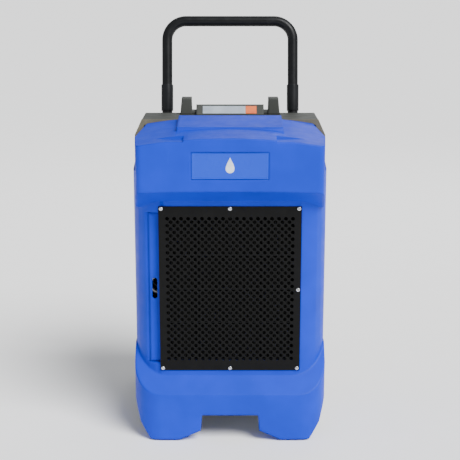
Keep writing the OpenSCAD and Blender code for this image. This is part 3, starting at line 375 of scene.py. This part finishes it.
def make_materials(p):
    """Every finish of the machine by name, from the colours in the property group."""
    return {
        "blue": moulded("Polyethylene_rotomoulded_blue", p.housing_blue, "032BA8", "174CD6", 0.44, 1.5,
                        0.06, 0.12, coat=0.05, edge=7.0),
        "badge": moulded("ABS_pressed_badge_blue", "0C3FCE", "0A38BC", "2358DC", 0.28, 2.2, 0.02, 0.05,
                         coat=0.3),
        "emblem": foil("ABS_hot_foil_white", "E4EAF2", "C2CCDC", 0.3, 0.15),
        "grey": moulded("Polyethylene_rotomoulded_grey", p.housing_grey, "383A37", "5A5C57", 0.5, 1.5,
                        0.06, 0.12, edge=6.0),
        # The seam gasket is a part, but its pale tan colour is painted highlight: it stands in for the pale
        # edge highlight along the seam between the shells.
        "gasket": rubber("EPDM_foam_tan_painted_highlight", "5E5A48", "7A7460", 0.85, 1.0),
        "pan": powder_coat("Steel_pressed_grey_coat", "8C9094", "A2A6AA", 0.42),
        "galvanised": bare_metal("Steel_galvanised_sheet", "B4B8BC", "8E9498", 0.38, (1, 1, 1), 6.0),
        "screen": powder_coat("Steel_perforated_black_coat", "060606", "131312", 0.55),
        "black_coat": powder_coat("Steel_tube_black_coat", "131415", "2A2C2E", 0.34),
        "compressor": powder_coat("Steel_drawn_black_enamel", "0E0F10", "2C2E30", 0.25),
        "zinc": bare_metal("Steel_screw_zinc_plated", "D4D6D8", "A6A8AA", 0.24, (1, 1, 1), 1.4),
        "axle": bare_metal("Steel_bright_drawn", "C2C4C6", "94989A", 0.25, (0.05, 1, 1), 1.0),
        "black_plastic": moulded("Nylon_moulded_black", "141516", "1D1E20", "3A3C3E", 0.46, 1.0, 0.05, 0.04),
        "dark_grip": moulded("Nylon_sleeve_black", "17181A", "202224", "404346", 0.36, 1.2, 0.04, 0.04),
        "rubber": rubber("Rubber_moulded_black", "151515", "4A4844"),
        "tyre": rubber("Rubber_tyre_grey_black", "1A1A1B", "56524A", 0.78, 1.2),
        "hub": moulded("Nylon_hub_grey", "5C5F62", "4C4F52", "7E8184", 0.45, 1.2, 0.05, 0.05),
        # the mat's colours are near black: painted shade for the dark inside behind the screen; the lighter
        # mix is caught dust
        "filter_mat": filter_mat("Polyester_pleated_mat_painted_shade", "0C0C0C", "161614"),
        "coil": finned_coil("Aluminium_rolled_fins", "C8CCD0", "9AA0A4"),
        "motor": powder_coat("Aluminium_cast_grey_enamel", "4A4E52", "686C70", 0.45),
        "fan": moulded("Polypropylene_moulded_amber", "B08A1E", "987416", "D0AC4A", 0.4),
        "copper": bare_metal("Copper_drawn_tube", "D88A5C", "8A5236", 0.26, (1, 1, 0.1), 1.2),
        "brass": bare_metal("Brass_turned", "D6B36A", "9C7C3C", 0.22, (1, 0.05, 1), 0.9),
        "tank": moulded("Polypropylene_natural_tank", "C8CCC4", "B4B8AE", "DEE0DA", 0.35, 2.0, 0.03, 0.06),
        "float": moulded("Polypropylene_float_orange", "D8622A", "C4541E", "F08A52", 0.4),
        "board": circuit_board("Glass_fibre_board_green"),
        "lens": smoked_lens("Polycarbonate_smoked"),
        "rocker": moulded("ABS_gloss_red", "B01E1A", "98160F", "D24A42", 0.2, 2.0, 0.01, 0.02, coat=0.4),
        "green_key": rubber("Silicone_key_green", "3A9A48", "5CB468", 0.5, 1.0),
        "grey_key": rubber("Silicone_key_grey", "B4B6B8", "CACCCE", 0.5, 1.0),
        "overlay": foil("Polyester_overlay_graphite", "1C1F22", "262A2E", 0.36, 0.1),
        "label": foil("Polyester_foil_silver", p.label_silver, "A8B2BE", 0.3, 0.35),
        "tile": foil("Polyester_foil_orange", p.label_orange, "CC5C2E", 0.36, 0.0),
        "floor": moulded("Studio_board_pale", "FDFDFC", "FBFBFA", "FEFEFD", 0.75, 8.0, 0.01, 0.01),
    }


CAD_FINISH = {
    "seam_gasket": "gasket", "base_pan": "pan", "coil_frame": "galvanised", "drip_tray": "galvanised",
    "evaporator_coil": "coil", "condenser_coil": "coil", "fan_shroud": "black_plastic",
    "motor_bracket": "galvanised", "fan_motor": "motor", "fan_blade": "fan", "compressor": "compressor",
    "compressor_mounts": "rubber", "accumulator": "compressor", "refrigerant_pipes": "copper",
    "filter_drier": "copper", "condensate_reservoir": "tank", "condensate_pump": "black_plastic",
    "float": "float", "drain_hose": "rubber", "drain_outlet": "brass", "electrical_box": "galvanised",
    "electrical_lid": "galvanised", "capacitor": "galvanised", "control_board": "board",
    "filter_rails": "galvanised", "axle": "axle",
}

# Rounded copies: node -> (piece name, finish, edge radius in mm, body)
ROUNDED = {
    "front_shell": ("front_housing", "blue", 7.0, "root"),
    "rear_shell": ("rear_housing", "grey", 6.0, "root"),
    "control_housing": ("bridge_and_towers", "grey", 2.2, "root"),
    "control_panel": ("keypad_overlay", "overlay", 0.4, "root"),
    "display_lens": ("display_window", "lens", 0.5, "root"),
    "front_label": ("bridge_label", "label", 0.3, "root"),
    "label_tile": ("bridge_tile", "tile", 0.3, "root"),
    "handle_brackets": ("pivot_ears", "black_coat", 0.8, "root"),
    "exhaust_grille": ("outlet_screen", "screen", 0.35, "root"),
    "cable_gland": ("cord_gland", "black_plastic", 0.7, "root"),
    "power_switch": ("switch_frame", "black_plastic", 0.6, "root"),
    "switch_rocker": ("switch_key", "rocker", 0.5, "rocker"),
    "foot_pads": ("foot_rubbers", "rubber", 0.8, "root"),
    "axle_caps": ("axle_end_caps", "zinc", 1.0, "root"),
    "hub_left": ("left_wheel_hub", "hub", 0.8, "wheel_left"),
    "hub_right": ("right_wheel_hub", "hub", 0.8, "wheel_right"),
    # the cassette's black is painted shade behind the screen; only its tab turns blue in DEHUM_OT_shells
    "filter_frame": ("filter_cassette", "black_plastic", 0.6, "filter"),
    "pivot_bolts": ("handle_bolts", "zinc", 0.5, "root"),
}


def hex_prop(label, text, value):
    return bpy.props.StringProperty(name=label, description=text, default=value)


class DehumidifierLook(bpy.types.PropertyGroup):
    """Sizes and colours that a user would change."""
    housing_blue: hex_prop("Housing blue", "sRGB hex colour of the front shell", "0433C6")
    housing_grey: hex_prop("Housing grey", "sRGB hex colour of the rear shell", "434542")
    label_silver: hex_prop("Label silver", "sRGB hex colour of the bridge label", "BEC8D2")
    label_orange: hex_prop("Label orange", "sRGB hex colour of the label's tile", "E06E3C")
    hole_size: bpy.props.FloatProperty(
        name="Screen hole", description="Diameter of each hole in the screen",
        default=0.008, unit="LENGTH", min=0.004, max=0.010)
    hole_pitch: bpy.props.FloatProperty(
        name="Hole pitch", description="Distance between holes in a row",
        default=0.015, unit="LENGTH", min=0.012, max=0.02)
    pleat_pitch: bpy.props.FloatProperty(
        name="Pleat pitch", description="Distance between the filter's pleats",
        default=0.009, unit="LENGTH", min=0.004, max=0.02)
    tread_blocks: bpy.props.IntProperty(
        name="Tread blocks", description="Blocks round each tyre", default=36, min=12, max=60)


class DehumidifierStudio(bpy.types.PropertyGroup):
    """Camera elevation, distance and lens."""
    elevation: bpy.props.FloatProperty(
        name="Camera elevation", description="Angle above the horizon",
        default=np.radians(15), subtype="ANGLE")
    distance: bpy.props.FloatProperty(
        name="Camera distance", description="From the camera to the screen's middle",
        default=2.635, unit="LENGTH")
    lens: bpy.props.FloatProperty(
        name="Lens", description="Focal length in mm", default=94.7, min=20, max=200)


MATERIALS = {}


def finish_of(key):
    """Returns a material by its short name, making the whole set once."""
    if not MATERIALS:
        MATERIALS.update(make_materials(bpy.context.scene.dehumidifier_look))
    return MATERIALS[key]


def is_clean(edge, room):
    """True for a sharp edge that isn't short and has room beside it: at both ends, each other edge that
    leaves across it (the cosine of the angle between them is under 0.9) is at least that long."""
    if len(edge.link_faces) != 2:
        return False
    if edge.calc_face_angle() < SHARP_TURN or edge.calc_length() < room / 2:
        return False
    way = (edge.verts[1].co - edge.verts[0].co).normalized()
    for v in edge.verts:
        for other in v.link_edges:
            side = other.other_vert(v).co - v.co
            if other != edge and abs(side.normalized().dot(way)) < 0.9 and side.length < room:
                return False
    return True


def rounded_copy(node):
    """Copies a CAD node's mesh, merges its loose triangles into flat faces and bevels its sharp edges,
    so that they catch the light. With a large radius only the edges with room beside them are beveled,
    since a wide bevel folds over itself at a short neighbour. Normals are weighted by face size, so
    that flat faces shade flat."""
    name, finish, radius, body = ROUNDED[node]
    source = frame["nodes"][node]
    mesh = source.data.copy()
    mesh.name = name
    b = bmesh.new()
    b.from_mesh(mesh)
    bmesh.ops.remove_doubles(b, verts=b.verts, dist=WELD)
    bmesh.ops.dissolve_limit(b, angle_limit=FLAT_TURN, verts=b.verts, edges=b.edges, delimit={"NORMAL"})
    large = radius > LARGE_RADIUS
    if large:
        weight = b.edges.layers.float.new("bevel_weight_edge")
        for edge in b.edges:
            edge[weight] = float(is_clean(edge, 2.2 * radius * MM))
    b.to_mesh(mesh)
    b.free()
    obj = bpy.data.objects.new(name, mesh)
    bpy.context.scene.collection.objects.link(obj)
    mesh.materials.clear()
    mesh.materials.append(finish_of(finish))
    mesh.shade_smooth()
    mesh.set_sharp_from_angle(angle=SHARP_TURN)
    bevel = obj.modifiers.new("Edges", "BEVEL")
    bevel.width = radius * MM
    bevel.segments = 4 if radius > 2 else 2
    bevel.limit_method = "WEIGHT" if large else "ANGLE"
    bevel.angle_limit = SHARP_TURN
    bevel.use_clamp_overlap = True
    normals = obj.modifiers.new("Flat faces", "WEIGHTED_NORMAL")
    normals.keep_sharp = True
    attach(obj, body)
    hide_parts(node)
    return obj


class DEHUM_OT_shells(bpy.types.Operator):
    """Rounded housings, bridge, labels, feet and fittings from the CAD forms"""
    bl_idname = "dehum.shells"
    bl_label = "Shells and fittings"

    def execute(self, context):
        for node in ROUNDED:
            rounded_copy(node)
        # Only the tab outside the screen takes the blue moulding. The rest keeps the black nylon finish as
        # painted shade, so the cassette reads dark behind the screen.
        cassette = bpy.data.objects["filter_cassette"].data
        cassette.materials.append(finish_of("blue"))
        rail = 7 * MM
        tab = node_box("filter_media")[0][0] - rail
        for face in cassette.polygons:
            face.material_index = int(face.center.x < tab)
        return {"FINISHED"}


class DEHUM_OT_frame_finishes(bpy.types.Operator):
    """Finishes for the CAD nodes that stay as they are"""
    bl_idname = "dehum.frame_finishes"
    bl_label = "Inner pieces"

    def execute(self, context):
        for node, key in CAD_FINISH.items():
            obj = frame["nodes"][node]
            obj.data.materials.clear()
            obj.data.materials.append(finish_of(key))
        return {"FINISHED"}


def perforated_plate(lo, hi, hole_d, pitch, cols, rows):
    """Plate with holes on a diamond lattice. Each cell is a diamond whose edge at angle t lies at
    half / (|cos t| + |sin t|); rings run from it to a rolled hole edge and through to the back. A
    saw-toothed strip joins the outer cells to the plate's rectangle. cols and rows count half pitches."""
    half = pitch / 2
    mid, reach = (lo + hi) / 2, (hi - lo) / 2
    i, j = np.meshgrid(np.arange(-cols, cols + 1), np.arange(-rows, rows + 1), indexing="ij")
    keep = (i + j + cols + rows) % 2 == 0
    centres = np.stack([i[keep], 0 * i[keep], j[keep]], -1)[:, None, None] * half
    sides, deep = 16, 2 * reach[1]
    t = np.linspace(0, TAU, sides + 1)[:-1]
    diamond = half / (abs(np.cos(t)) + abs(np.sin(t)))
    r = hole_d / 2 + 0 * t
    rings = [(diamond, 0), (r + 0.5 * MM, 0), (r + 0.12 * MM, 0.2 * MM), (r, 0.5 * MM), (r, deep),
             (diamond, deep)]
    cell = np.stack([np.stack([a * np.cos(t), y + 0 * t, a * np.sin(t)], -1) for a, y in rings])
    quads = grid_faces(len(rings), sides, wrap_cols=True)
    cells = (centres + cell).reshape(-1, 3)
    first = np.arange(len(centres)) * len(rings) * sides
    cell_faces = (quads + first[:, None, None]).reshape(-1, 4)

    def steps(n):
        """Where the points of the outer diamonds lie along a side, in half pitches."""
        quarter = [0, 1 - 0.5 ** 0.5, 0.5, 0.5 ** 0.5]
        return np.append(np.add.outer(np.arange(-n, n), quarter).ravel(), n)

    across, up = steps(cols + 1), steps(rows)
    low = np.stack([across, abs((across + cols + 1) % 2 - 1) - rows - 1], -1)
    right = np.stack([cols + 1 - abs((up + rows + 1) % 2 - 1), up], -1)
    inner = np.concatenate([low, low[-1:], right, right[-1:]]) * half
    outer = inner.copy()
    outer[:len(low) + 1, 1] = -reach[2]
    outer[len(low):, 0] = reach[0]
    outer[-1, 1] = reach[2]
    inner, outer = np.concatenate([inner, -inner]), np.concatenate([outer, -outer])
    strip = np.stack([np.stack([ring[:, 0], y + 0 * ring[:, 0], ring[:, 1]], -1)
                      for ring, y in ((inner, 0), (outer, 0), (outer, deep), (inner, deep))])
    points, faces = join([(cells, cell_faces), (strip, grid_faces(4, len(inner), wrap_cols=True))])
    return points + [mid[0], lo[1], mid[2]], faces


class DEHUM_OT_screen(bpy.types.Operator):
    """Perforated intake screen with rolled hole edges"""
    bl_idname = "dehum.screen"
    bl_label = "Intake screen"

    def execute(self, context):
        look = context.scene.dehumidifier_look
        lo, hi = node_box("intake_grille")
        cols, rows = 18, 21
        plate = perforated_plate(lo, hi, look.hole_size, look.hole_pitch, cols, rows)
        obj = new_mesh("perforated_screen", *plate, "root", ["intake_grille"], finish_of("screen"),
                       smooth=False)
        tidy_mesh(obj, WELD)
        return {"FINISHED"}


def pan_head(centre, axis, radius, height, sides=40, rings=14):
    """Domed screw head with a cross recess. For s from 0 to 1, r = R sin(s pi/2) and the height is
    H (0.42 + 0.58 cos(s pi/2)), less 0.45 H in a cross whose arms fade out about r = 0.52 R. Returns
    points and faces; the back is closed flat."""
    axis = np.asarray(axis, float)
    e1, e2 = square_to(axis)
    s = np.linspace(0, 1, rings)[:, None]
    t = np.linspace(0, TAU, sides, endpoint=False)[None]
    r = radius * np.sin(s * np.pi / 2)
    h = height * (0.42 + 0.58 * np.cos(s * np.pi / 2)) + 0 * t
    u, v = r * np.cos(t), r * np.sin(t)
    arm = np.maximum(np.exp(-(u / (0.16 * radius)) ** 4), np.exp(-(v / (0.16 * radius)) ** 4))
    reach = 1 / (1 + np.exp((r / radius - 0.52) * 30))
    h = h - 0.45 * height * arm * reach
    top = np.stack([u, v, h], -1)
    foot = np.stack([radius * np.cos(t[0]), radius * np.sin(t[0]), 0 * t[0]], -1)[None]
    close = np.zeros((1, sides, 3))
    local = np.concatenate([top, foot, close])
    points = np.asarray(centre) + local[..., :1] * e1 + local[..., 1:2] * e2 + local[..., 2:] * axis
    return points.reshape(-1, 3), grid_faces(len(local), sides, wrap_cols=True)


def loose_parts(node):
    """Boxes of a CAD node's separate solids, worked out from points that share a merged vertex."""
    b = bmesh.new()
    b.from_mesh(frame["nodes"][node].data)
    bmesh.ops.remove_doubles(b, verts=b.verts, dist=WELD)
    left, found = set(b.verts), []
    while left:
        stack, group = [left.pop()], []
        while stack:
            v = stack.pop()
            group.append(v.co[:])
            for e in v.link_edges:
                w = e.other_vert(v)
                if w in left:
                    left.remove(w)
                    stack.append(w)
        found.append((np.min(group, axis=0), np.max(group, axis=0)))
    b.free()
    return sorted(found, key=lambda g: tuple(np.round(g[0], 4)))


class DEHUM_OT_screws(bpy.types.Operator):
    """Cross-recess pan heads with plain shanks where the CAD screws lie"""
    bl_idname = "dehum.screws"
    bl_label = "Screws"

    def execute(self, context):
        head_h, shank_r, point = 2.4 * MM, 1.9 * MM, 1.2 * MM
        for node, name, out in (("grille_screws", "screen_screws_heads", -1),
                                ("exhaust_screws", "outlet_screws_heads", 1),
                                ("bracket_screws", "bracket_screws_heads", 1)):
            parts = []
            for lo, hi in loose_parts(node):
                mid = (lo + hi) / 2
                tip, face = (hi[1], lo[1]) if out < 0 else (lo[1], hi[1])
                seat = face - out * head_h
                parts.append(pan_head((mid[0], seat, mid[2]), (0, out, 0), (hi[0] - lo[0]) / 2, head_h))
                long = abs(seat - tip)
                shank = [(0, 0), (point, 0), (shank_r, point), (shank_r, long), (0, long)]
                parts.append(revolve(shank, (mid[0], tip, mid[2]), (0, out, 0), 20))
            tidy_mesh(new_mesh(name, *join(parts), "root", [node], finish_of("zinc")))
        return {"FINISHED"}


def tube_along(path, radius, sides):
    """Carries a circle along a path in rings at right angles to it: point = path + r (cos t side +
    sin t normal), where normal is that of the plane that the path lies in. radius holds one value a
    ring. Each end is closed by a ring of no size."""
    path = np.asarray(path)
    step = np.gradient(path, axis=0)
    step /= np.linalg.norm(step, axis=1, keepdims=True)
    plane = np.cross(path[len(path) // 2] - path[0], path[-1] - path[0])
    plane /= np.linalg.norm(plane)
    side = np.cross(step, plane)
    t = np.linspace(0, TAU, sides, endpoint=False)
    ring = np.cos(t)[None, :, None] * side[:, None] + np.sin(t)[None, :, None] * plane
    points = path[:, None] + radius[:, None, None] * ring
    ends = [np.repeat(path[k, None, None], sides, 1) for k in (0, -1)]
    points = np.concatenate([ends[0], points, ends[1]])
    return points.reshape(-1, 3), grid_faces(len(points), sides, wrap_cols=True)


HANDLE_REACH = 0.15     # metres from the middle to each leg's centre line


def handle_frame():
    """Pivot point, direction of the raised legs, length from pivot to the bar's centre, tube radius."""
    joint = next(j for j in frame["joints"] if j["name"] == "handle_fold")
    pivot = np.array(joint["pos_m"], float)
    lo, hi = node_box("handle_loop")
    radius = (hi[0] - lo[0] - 2 * HANDLE_REACH) / 2
    top = np.array([0, hi[1] - radius, hi[2] - radius]) - pivot
    length = np.linalg.norm(top[1:])
    return pivot, top / length, length, radius


class DEHUM_OT_handle(bpy.types.Operator):
    """Bent tube of the folding handle, with domed ends"""
    bl_idname = "dehum.handle"
    bl_label = "Handle"

    def execute(self, context):
        pivot, up, length, radius = handle_frame()
        bend = 0.045
        corner, rise = HANDLE_REACH - bend, length - bend
        x = np.array([1.0, 0, 0])
        s = np.linspace(0, np.pi / 2, 16)[1:-1, None]
        leg = up * np.linspace(0, rise, 18)[:, None] + x * HANDLE_REACH
        arc = x * (corner + bend * np.cos(s)) + up * (rise + bend * np.sin(s))
        bar = up * length + x * np.linspace(corner, 0, 10)[:-1, None]
        right = np.concatenate([leg, arc, bar])
        path = np.concatenate([right, up[None] * length, (right * [-1, 1, 1])[::-1]]) + pivot
        turn = np.linspace(0, np.pi / 2, 8)[1:]
        dome = path[0] - up * radius * np.sin(turn)[::-1, None]
        shrink = radius * np.cos(turn)
        radii = np.concatenate([shrink[::-1], np.full(len(path), radius), shrink])
        path = np.concatenate([dome, path, (dome * [-1, 1, 1])[::-1]])
        tube = tube_along(path, np.maximum(radii, 1e-5), 48)
        tidy_mesh(new_mesh("handle_tube", *tube, "handle", ["handle_loop"], finish_of("black_coat")))
        return {"FINISHED"}


class DEHUM_OT_collars(bpy.types.Operator):
    """Ribbed sleeves round the handle's legs"""
    bl_idname = "dehum.collars"
    bl_label = "Handle sleeves"

    def execute(self, context):
        pivot, up, _, radius = handle_frame()
        base, tall = 0.046, 0.062
        bore, outer = radius + 0.1 * MM, radius + 1.8 * MM
        profile = rounded_line([(bore, 0), (outer, 0), (outer, tall), (bore, tall)], 1.4 * MM)
        profile = np.concatenate([profile, profile[:1]])

        def ribs(t, r, h):
            """24 shallow ribs, on the outside only."""
            return r + 0.22 * MM * np.cos(24 * t) * (r > radius + MM)

        foot = pivot + up * base
        sleeves = [revolve(profile, foot + [side * HANDLE_REACH, 0, 0], up, 48, ribs) for side in (-1, 1)]
        tidy_mesh(new_mesh("handle_collars", *join(sleeves), "handle", ["handle_sleeves"],
                           finish_of("dark_grip")))
        return {"FINISHED"}


class DEHUM_OT_knobs(bpy.types.Operator):
    """Fluted clamp knobs at the handle's pivots"""
    bl_idname = "dehum.knobs"
    bl_label = "Clamp knobs"

    def execute(self, context):
        for side, out in (("left", -1), ("right", 1)):
            node = "knob_" + side
            lo, hi = node_box(node)
            r, deep = (hi[2] - lo[2]) / 2, hi[0] - lo[0]
            mid = [lo[0] if out > 0 else hi[0], (lo[1] + hi[1]) / 2, (lo[2] + hi[2]) / 2]
            line = rounded_line([(0, 0), (r * 0.7, 0), (r * 0.78, 2 * MM), (r, 3.5 * MM),
                                 (r, deep - 3 * MM), (r * 0.72, deep), (r * 0.3, deep - 0.8 * MM),
                                 (0, deep - 0.8 * MM)], 1.5 * MM)

            def flutes(t, rr, h):
                """Eight flutes 1.1 mm deep that fade out towards the middle."""
                return rr - 1.1 * MM * (0.5 - 0.5 * np.cos(8 * t)) * (rr / r) ** 3

            knob = revolve(line, mid, (out, 0, 0), 96, flutes)
            tidy_mesh(new_mesh(side + "_clamp_knob", *knob, node, [node], finish_of("black_plastic")))
        return {"FINISHED"}


class DEHUM_OT_tyres(bpy.types.Operator):
    """Tyres with tread blocks and rounded shoulders"""
    bl_idname = "dehum.tyres"
    bl_label = "Tyres"

    def execute(self, context):
        blocks = context.scene.dehumidifier_look.tread_blocks
        for side in ("left", "right"):
            lo, hi = node_box("tyre_" + side)
            wide, r = hi[0] - lo[0], (hi[2] - lo[2]) / 2
            section, cut = 13.95 * MM, 1.2 * MM
            bore = r - section
            mid = wide / 2
            s = np.linspace(-1, 1, 41)
            crown = np.stack([r - 0.9 * MM * s ** 2 - 3.0 * MM * abs(s) ** 9, mid + s * (mid - 1.2 * MM)], -1)
            profile = np.concatenate([[(bore, 0.4 * MM), (bore + 2 * MM, 0), (bore + 5 * MM, 0.8 * MM),
                                       (r - 6 * MM, 0.4 * MM)], crown,
                                      [(r - 6 * MM, wide - 0.4 * MM), (bore + 5 * MM, wide - 0.8 * MM),
                                       (bore + 2 * MM, wide), (bore, wide - 0.4 * MM), (bore, 0.4 * MM)]])

            def tread(t, rr, h):
                """Zigzag sipes across the tread and two grooves round it."""
                across = (h - mid) / mid
                sipe = np.cos(blocks * t + 2.2 * np.abs(across) * np.pi) > 0.82
                groove = abs(abs(across) - 0.36) < 0.05
                on_tread = rr > r - 3 * MM
                return rr - cut * (sipe | groove) * on_tread

            hub = (lo[0], (lo[1] + hi[1]) / 2, (lo[2] + hi[2]) / 2)
            tyre = revolve(profile, hub, (1, 0, 0), blocks * 10, tread)
            tidy_mesh(new_mesh(side + "_tyre_tread", *tyre, "wheel_" + side, ["tyre_" + side],
                               finish_of("tyre")))
        return {"FINISHED"}


class DEHUM_OT_keys(bpy.types.Operator):
    """Domed push buttons"""
    bl_idname = "dehum.keys"
    bl_label = "Push buttons"

    def execute(self, context):
        for k in range(1, 5):
            name = f"button_{k}"
            joint = next(j for j in frame["joints"] if j["name"] == name + "_press")
            out = -np.array(joint["axis"], float)
            out /= np.linalg.norm(out)
            lo, hi = node_box(name)
            mid = (lo + hi) / 2
            r = (hi[0] - lo[0]) / 2
            tall = (hi[2] - lo[2] - 2 * r * abs(out[1])) / abs(out[2])
            line = rounded_line([(0, 0), (r, 0), (r, tall - 0.6 * MM), (r * 0.6, tall),
                                 (r * 0.35, tall - 0.35 * MM), (0, tall - 0.5 * MM)], 0.7 * MM)
            key = revolve(line, mid - out * tall / 2, out, 40)
            colour = "green_key" if k == 1 else "grey_key"
            tidy_mesh(new_mesh(f"key_cap_{k}", *key, name, [name], finish_of(colour)))
        return {"FINISHED"}


class DEHUM_OT_filter_mat(bpy.types.Operator):
    """Pleated mat: two sheets whose depth follows a rounded triangle wave across the width"""
    bl_idname = "dehum.filter_mat"
    bl_label = "Filter mat"

    def execute(self, context):
        lo, hi = node_box("filter_media")
        pitch = context.scene.dehumidifier_look.pleat_pitch
        x = np.linspace(lo[0], hi[0], int((hi[0] - lo[0]) / pitch) * 8 + 1)
        z = np.linspace(lo[2], hi[2], 24)
        depth = hi[1] - lo[1]
        sharpness = 0.94
        fold = np.arcsin(sharpness * np.cos(TAU * (x - lo[0]) / pitch)) / np.arcsin(sharpness)
        front = lo[1] + (fold * 0.5 + 0.5) * depth * 0.62
        ripple = 0.2 * MM * np.sin(z[:, None] * 310 + x[None, :] * 90)
        sheets = [np.stack(np.broadcast_arrays(x[None, :], front + shift + ripple, z[:, None]), -1)
                  for shift in (0.0, depth * 0.3)]
        tidy_mesh(new_mesh("pleated_mat", *slab(*sheets), "filter", ["filter_media"],
                           finish_of("filter_mat")))
        return {"FINISHED"}


def badge_plate(lo, hi, face):
    """Plate whose face lies that far behind its foremost plane. A rim 0.5 mm high follows exp(-(d/w)^2)
    about a line 2.6 mm inside the border, and the last 0.8 mm before the border falls back by a
    square law."""
    mid, half = (lo + hi) / 2, (hi - lo) / 2
    u, v = np.meshgrid(np.linspace(-1, 1, 161), np.linspace(-1, 1, 57), indexing="xy")
    x, z = u * half[0], v * half[2]
    edge = np.minimum(half[0] - abs(x), half[2] - abs(z))
    rim = 0.5 * MM * np.exp(-((edge - 2.6 * MM) / (0.9 * MM)) ** 2)
    fall = 0.5 * MM * np.clip(1 - edge / (0.8 * MM), 0, 1) ** 2
    front = np.stack([mid[0] + x, lo[1] + face - rim + fall, mid[2] + z], -1)
    back = front.copy()
    back[..., 1] = hi[1]
    return slab(front, back)


def water_drop(lo, hi, face, size):
    """Drop on the badge's face: x = 0.78 size sin t sin(t/2)^1.5 and z = size (0.12 + cos t), scaled by s
    from 0 to 1, and domed by the square root of 1 - s^6. The back is closed inside the plate."""
    mid = (lo + hi) / 2
    sides, sunk = 72, lo[1] + face + 0.35 * MM
    t = np.linspace(0, TAU, sides, endpoint=False)[None]
    s = np.linspace(0, 1, 12)[:, None]
    x = size * 0.78 * np.sin(t) * np.sin(t / 2) ** 1.5
    z = size * (0.12 + np.cos(t))
    dome = np.sqrt(np.clip(1 - s ** 6, 0, 1)) * 0.55 * MM
    top = np.stack([mid[0] + s * x, lo[1] + face - dome + 0 * t, mid[2] + s * z], -1)
    under = top[-1:].copy()
    under[..., 1] = sunk
    foot = np.broadcast_to([mid[0], sunk, mid[2]], (1, sides, 3))
    drop = np.concatenate([top, under, foot])
    return drop.reshape(-1, 3), grid_faces(len(drop), sides, wrap_cols=True)


class DEHUM_OT_badge(bpy.types.Operator):
    """Plain badge plate with a raised rim and a generic water drop"""
    bl_idname = "dehum.badge"
    bl_label = "Badge"

    def execute(self, context):
        lo, hi = node_box("badge_plate")
        face = 0.55 * MM
        tidy_mesh(new_mesh("badge", *badge_plate(lo, hi, face), "root", ["badge_plate"],
                           finish_of("badge")))
        tidy_mesh(new_mesh("badge_drop", *water_drop(lo, hi, face, 17 * MM), "root",
                           material=finish_of("emblem"), slot="label_silver"))
        return {"FINISHED"}


class DEHUM_OT_stage(bpy.types.Operator):
    """Pale floor, soft studio lights and the camera"""
    bl_idname = "dehum.stage"
    bl_label = "Studio"

    def execute(self, context):
        scene = context.scene
        studio = scene.dehumidifier_studio
        size, drop = 60.0, 0.4 * MM
        x, y = np.meshgrid([-size, 0, size], [-size, 0, size])
        points = np.stack([x, y, 0 * x - drop], -1).reshape(-1, 3)
        mesh = bpy.data.meshes.new("studio_floor")
        mesh.from_pydata(points, [], grid_faces(3, 3).tolist())
        floor = bpy.data.objects.new("studio_floor", mesh)
        scene.collection.objects.link(floor)
        mesh.materials.append(finish_of("floor"))
        world = bpy.data.worlds.new("studio_world")
        scene.world = world
        world.use_nodes = True
        background = world.node_tree.nodes["Background"]
        background.inputs[0].default_value = (0.93, 0.95, 1.0, 1)
        background.inputs[1].default_value = 0.42
        lamps = [("key", "SUN", (2.6, -3.0, 4.6), 5.9),
                 ("fill", "AREA", (-2.6, -1.6, 1.2), 6),
                 ("rim_light", "AREA", (0.8, 2.8, 2.8), 25)]
        middle = Vector((0, 0, 0.42))
        for name, kind, place, power in lamps:
            lamp = bpy.data.lights.new(name, kind)
            lamp.energy = power
            if kind == "SUN":
                lamp.angle = np.radians(34)
            else:
                lamp.shape, lamp.size = "DISK", 2.2
            obj = bpy.data.objects.new(name, lamp)
            obj.location = place
            obj.rotation_euler = (middle - Vector(place)).to_track_quat("-Z", "Y").to_euler()
            scene.collection.objects.link(obj)
        lo, hi = node_box("intake_grille")
        target = Vector((0, lo[1], (lo[2] + hi[2]) / 2))
        away = Vector((0, -np.cos(studio.elevation), np.sin(studio.elevation)))
        cam = bpy.data.cameras.new("camera")
        cam.lens = studio.lens
        cam.sensor_width = 36
        cam.shift_y = 0.13
        view = bpy.data.objects.new("camera", cam)
        view.location = target + away * studio.distance
        view.rotation_euler = (-away).to_track_quat("-Z", "Y").to_euler()
        scene.collection.objects.link(view)
        scene.camera = view
        return {"FINISHED"}


class DEHUM_PT_panel(bpy.types.Panel):
    """Lists the sizes, colours and pieces"""
    bl_idname = "DEHUM_PT_panel"
    bl_label = "Dehumidifier"
    bl_space_type = "VIEW_3D"
    bl_region_type = "UI"
    bl_category = "Dehumidifier"

    def draw(self, context):
        for group in (context.scene.dehumidifier_look, context.scene.dehumidifier_studio):
            for key in group.__annotations__:
                self.layout.prop(group, key)
        for step in STEPS:
            self.layout.operator(step.bl_idname)


STEPS = (DEHUM_OT_stage, DEHUM_OT_frame_finishes, DEHUM_OT_shells, DEHUM_OT_screen, DEHUM_OT_screws,
         DEHUM_OT_handle, DEHUM_OT_collars, DEHUM_OT_knobs, DEHUM_OT_tyres, DEHUM_OT_keys,
         DEHUM_OT_filter_mat, DEHUM_OT_badge)
CLASSES = (DehumidifierLook, DehumidifierStudio, *STEPS, DEHUM_PT_panel)


def register():
    for cls in CLASSES:
        bpy.utils.register_class(cls)
    bpy.types.Scene.dehumidifier_look = bpy.props.PointerProperty(type=DehumidifierLook)
    bpy.types.Scene.dehumidifier_studio = bpy.props.PointerProperty(type=DehumidifierStudio)


def unregister():
    del bpy.types.Scene.dehumidifier_studio
    del bpy.types.Scene.dehumidifier_look
    for cls in reversed(CLASSES):
        bpy.utils.unregister_class(cls)


def main():
    """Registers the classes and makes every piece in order."""
    register()
    for step in STEPS:
        group, name = step.bl_idname.split(".")
        getattr(getattr(bpy.ops, group), name)()


if __name__ == "__main__":
    main()
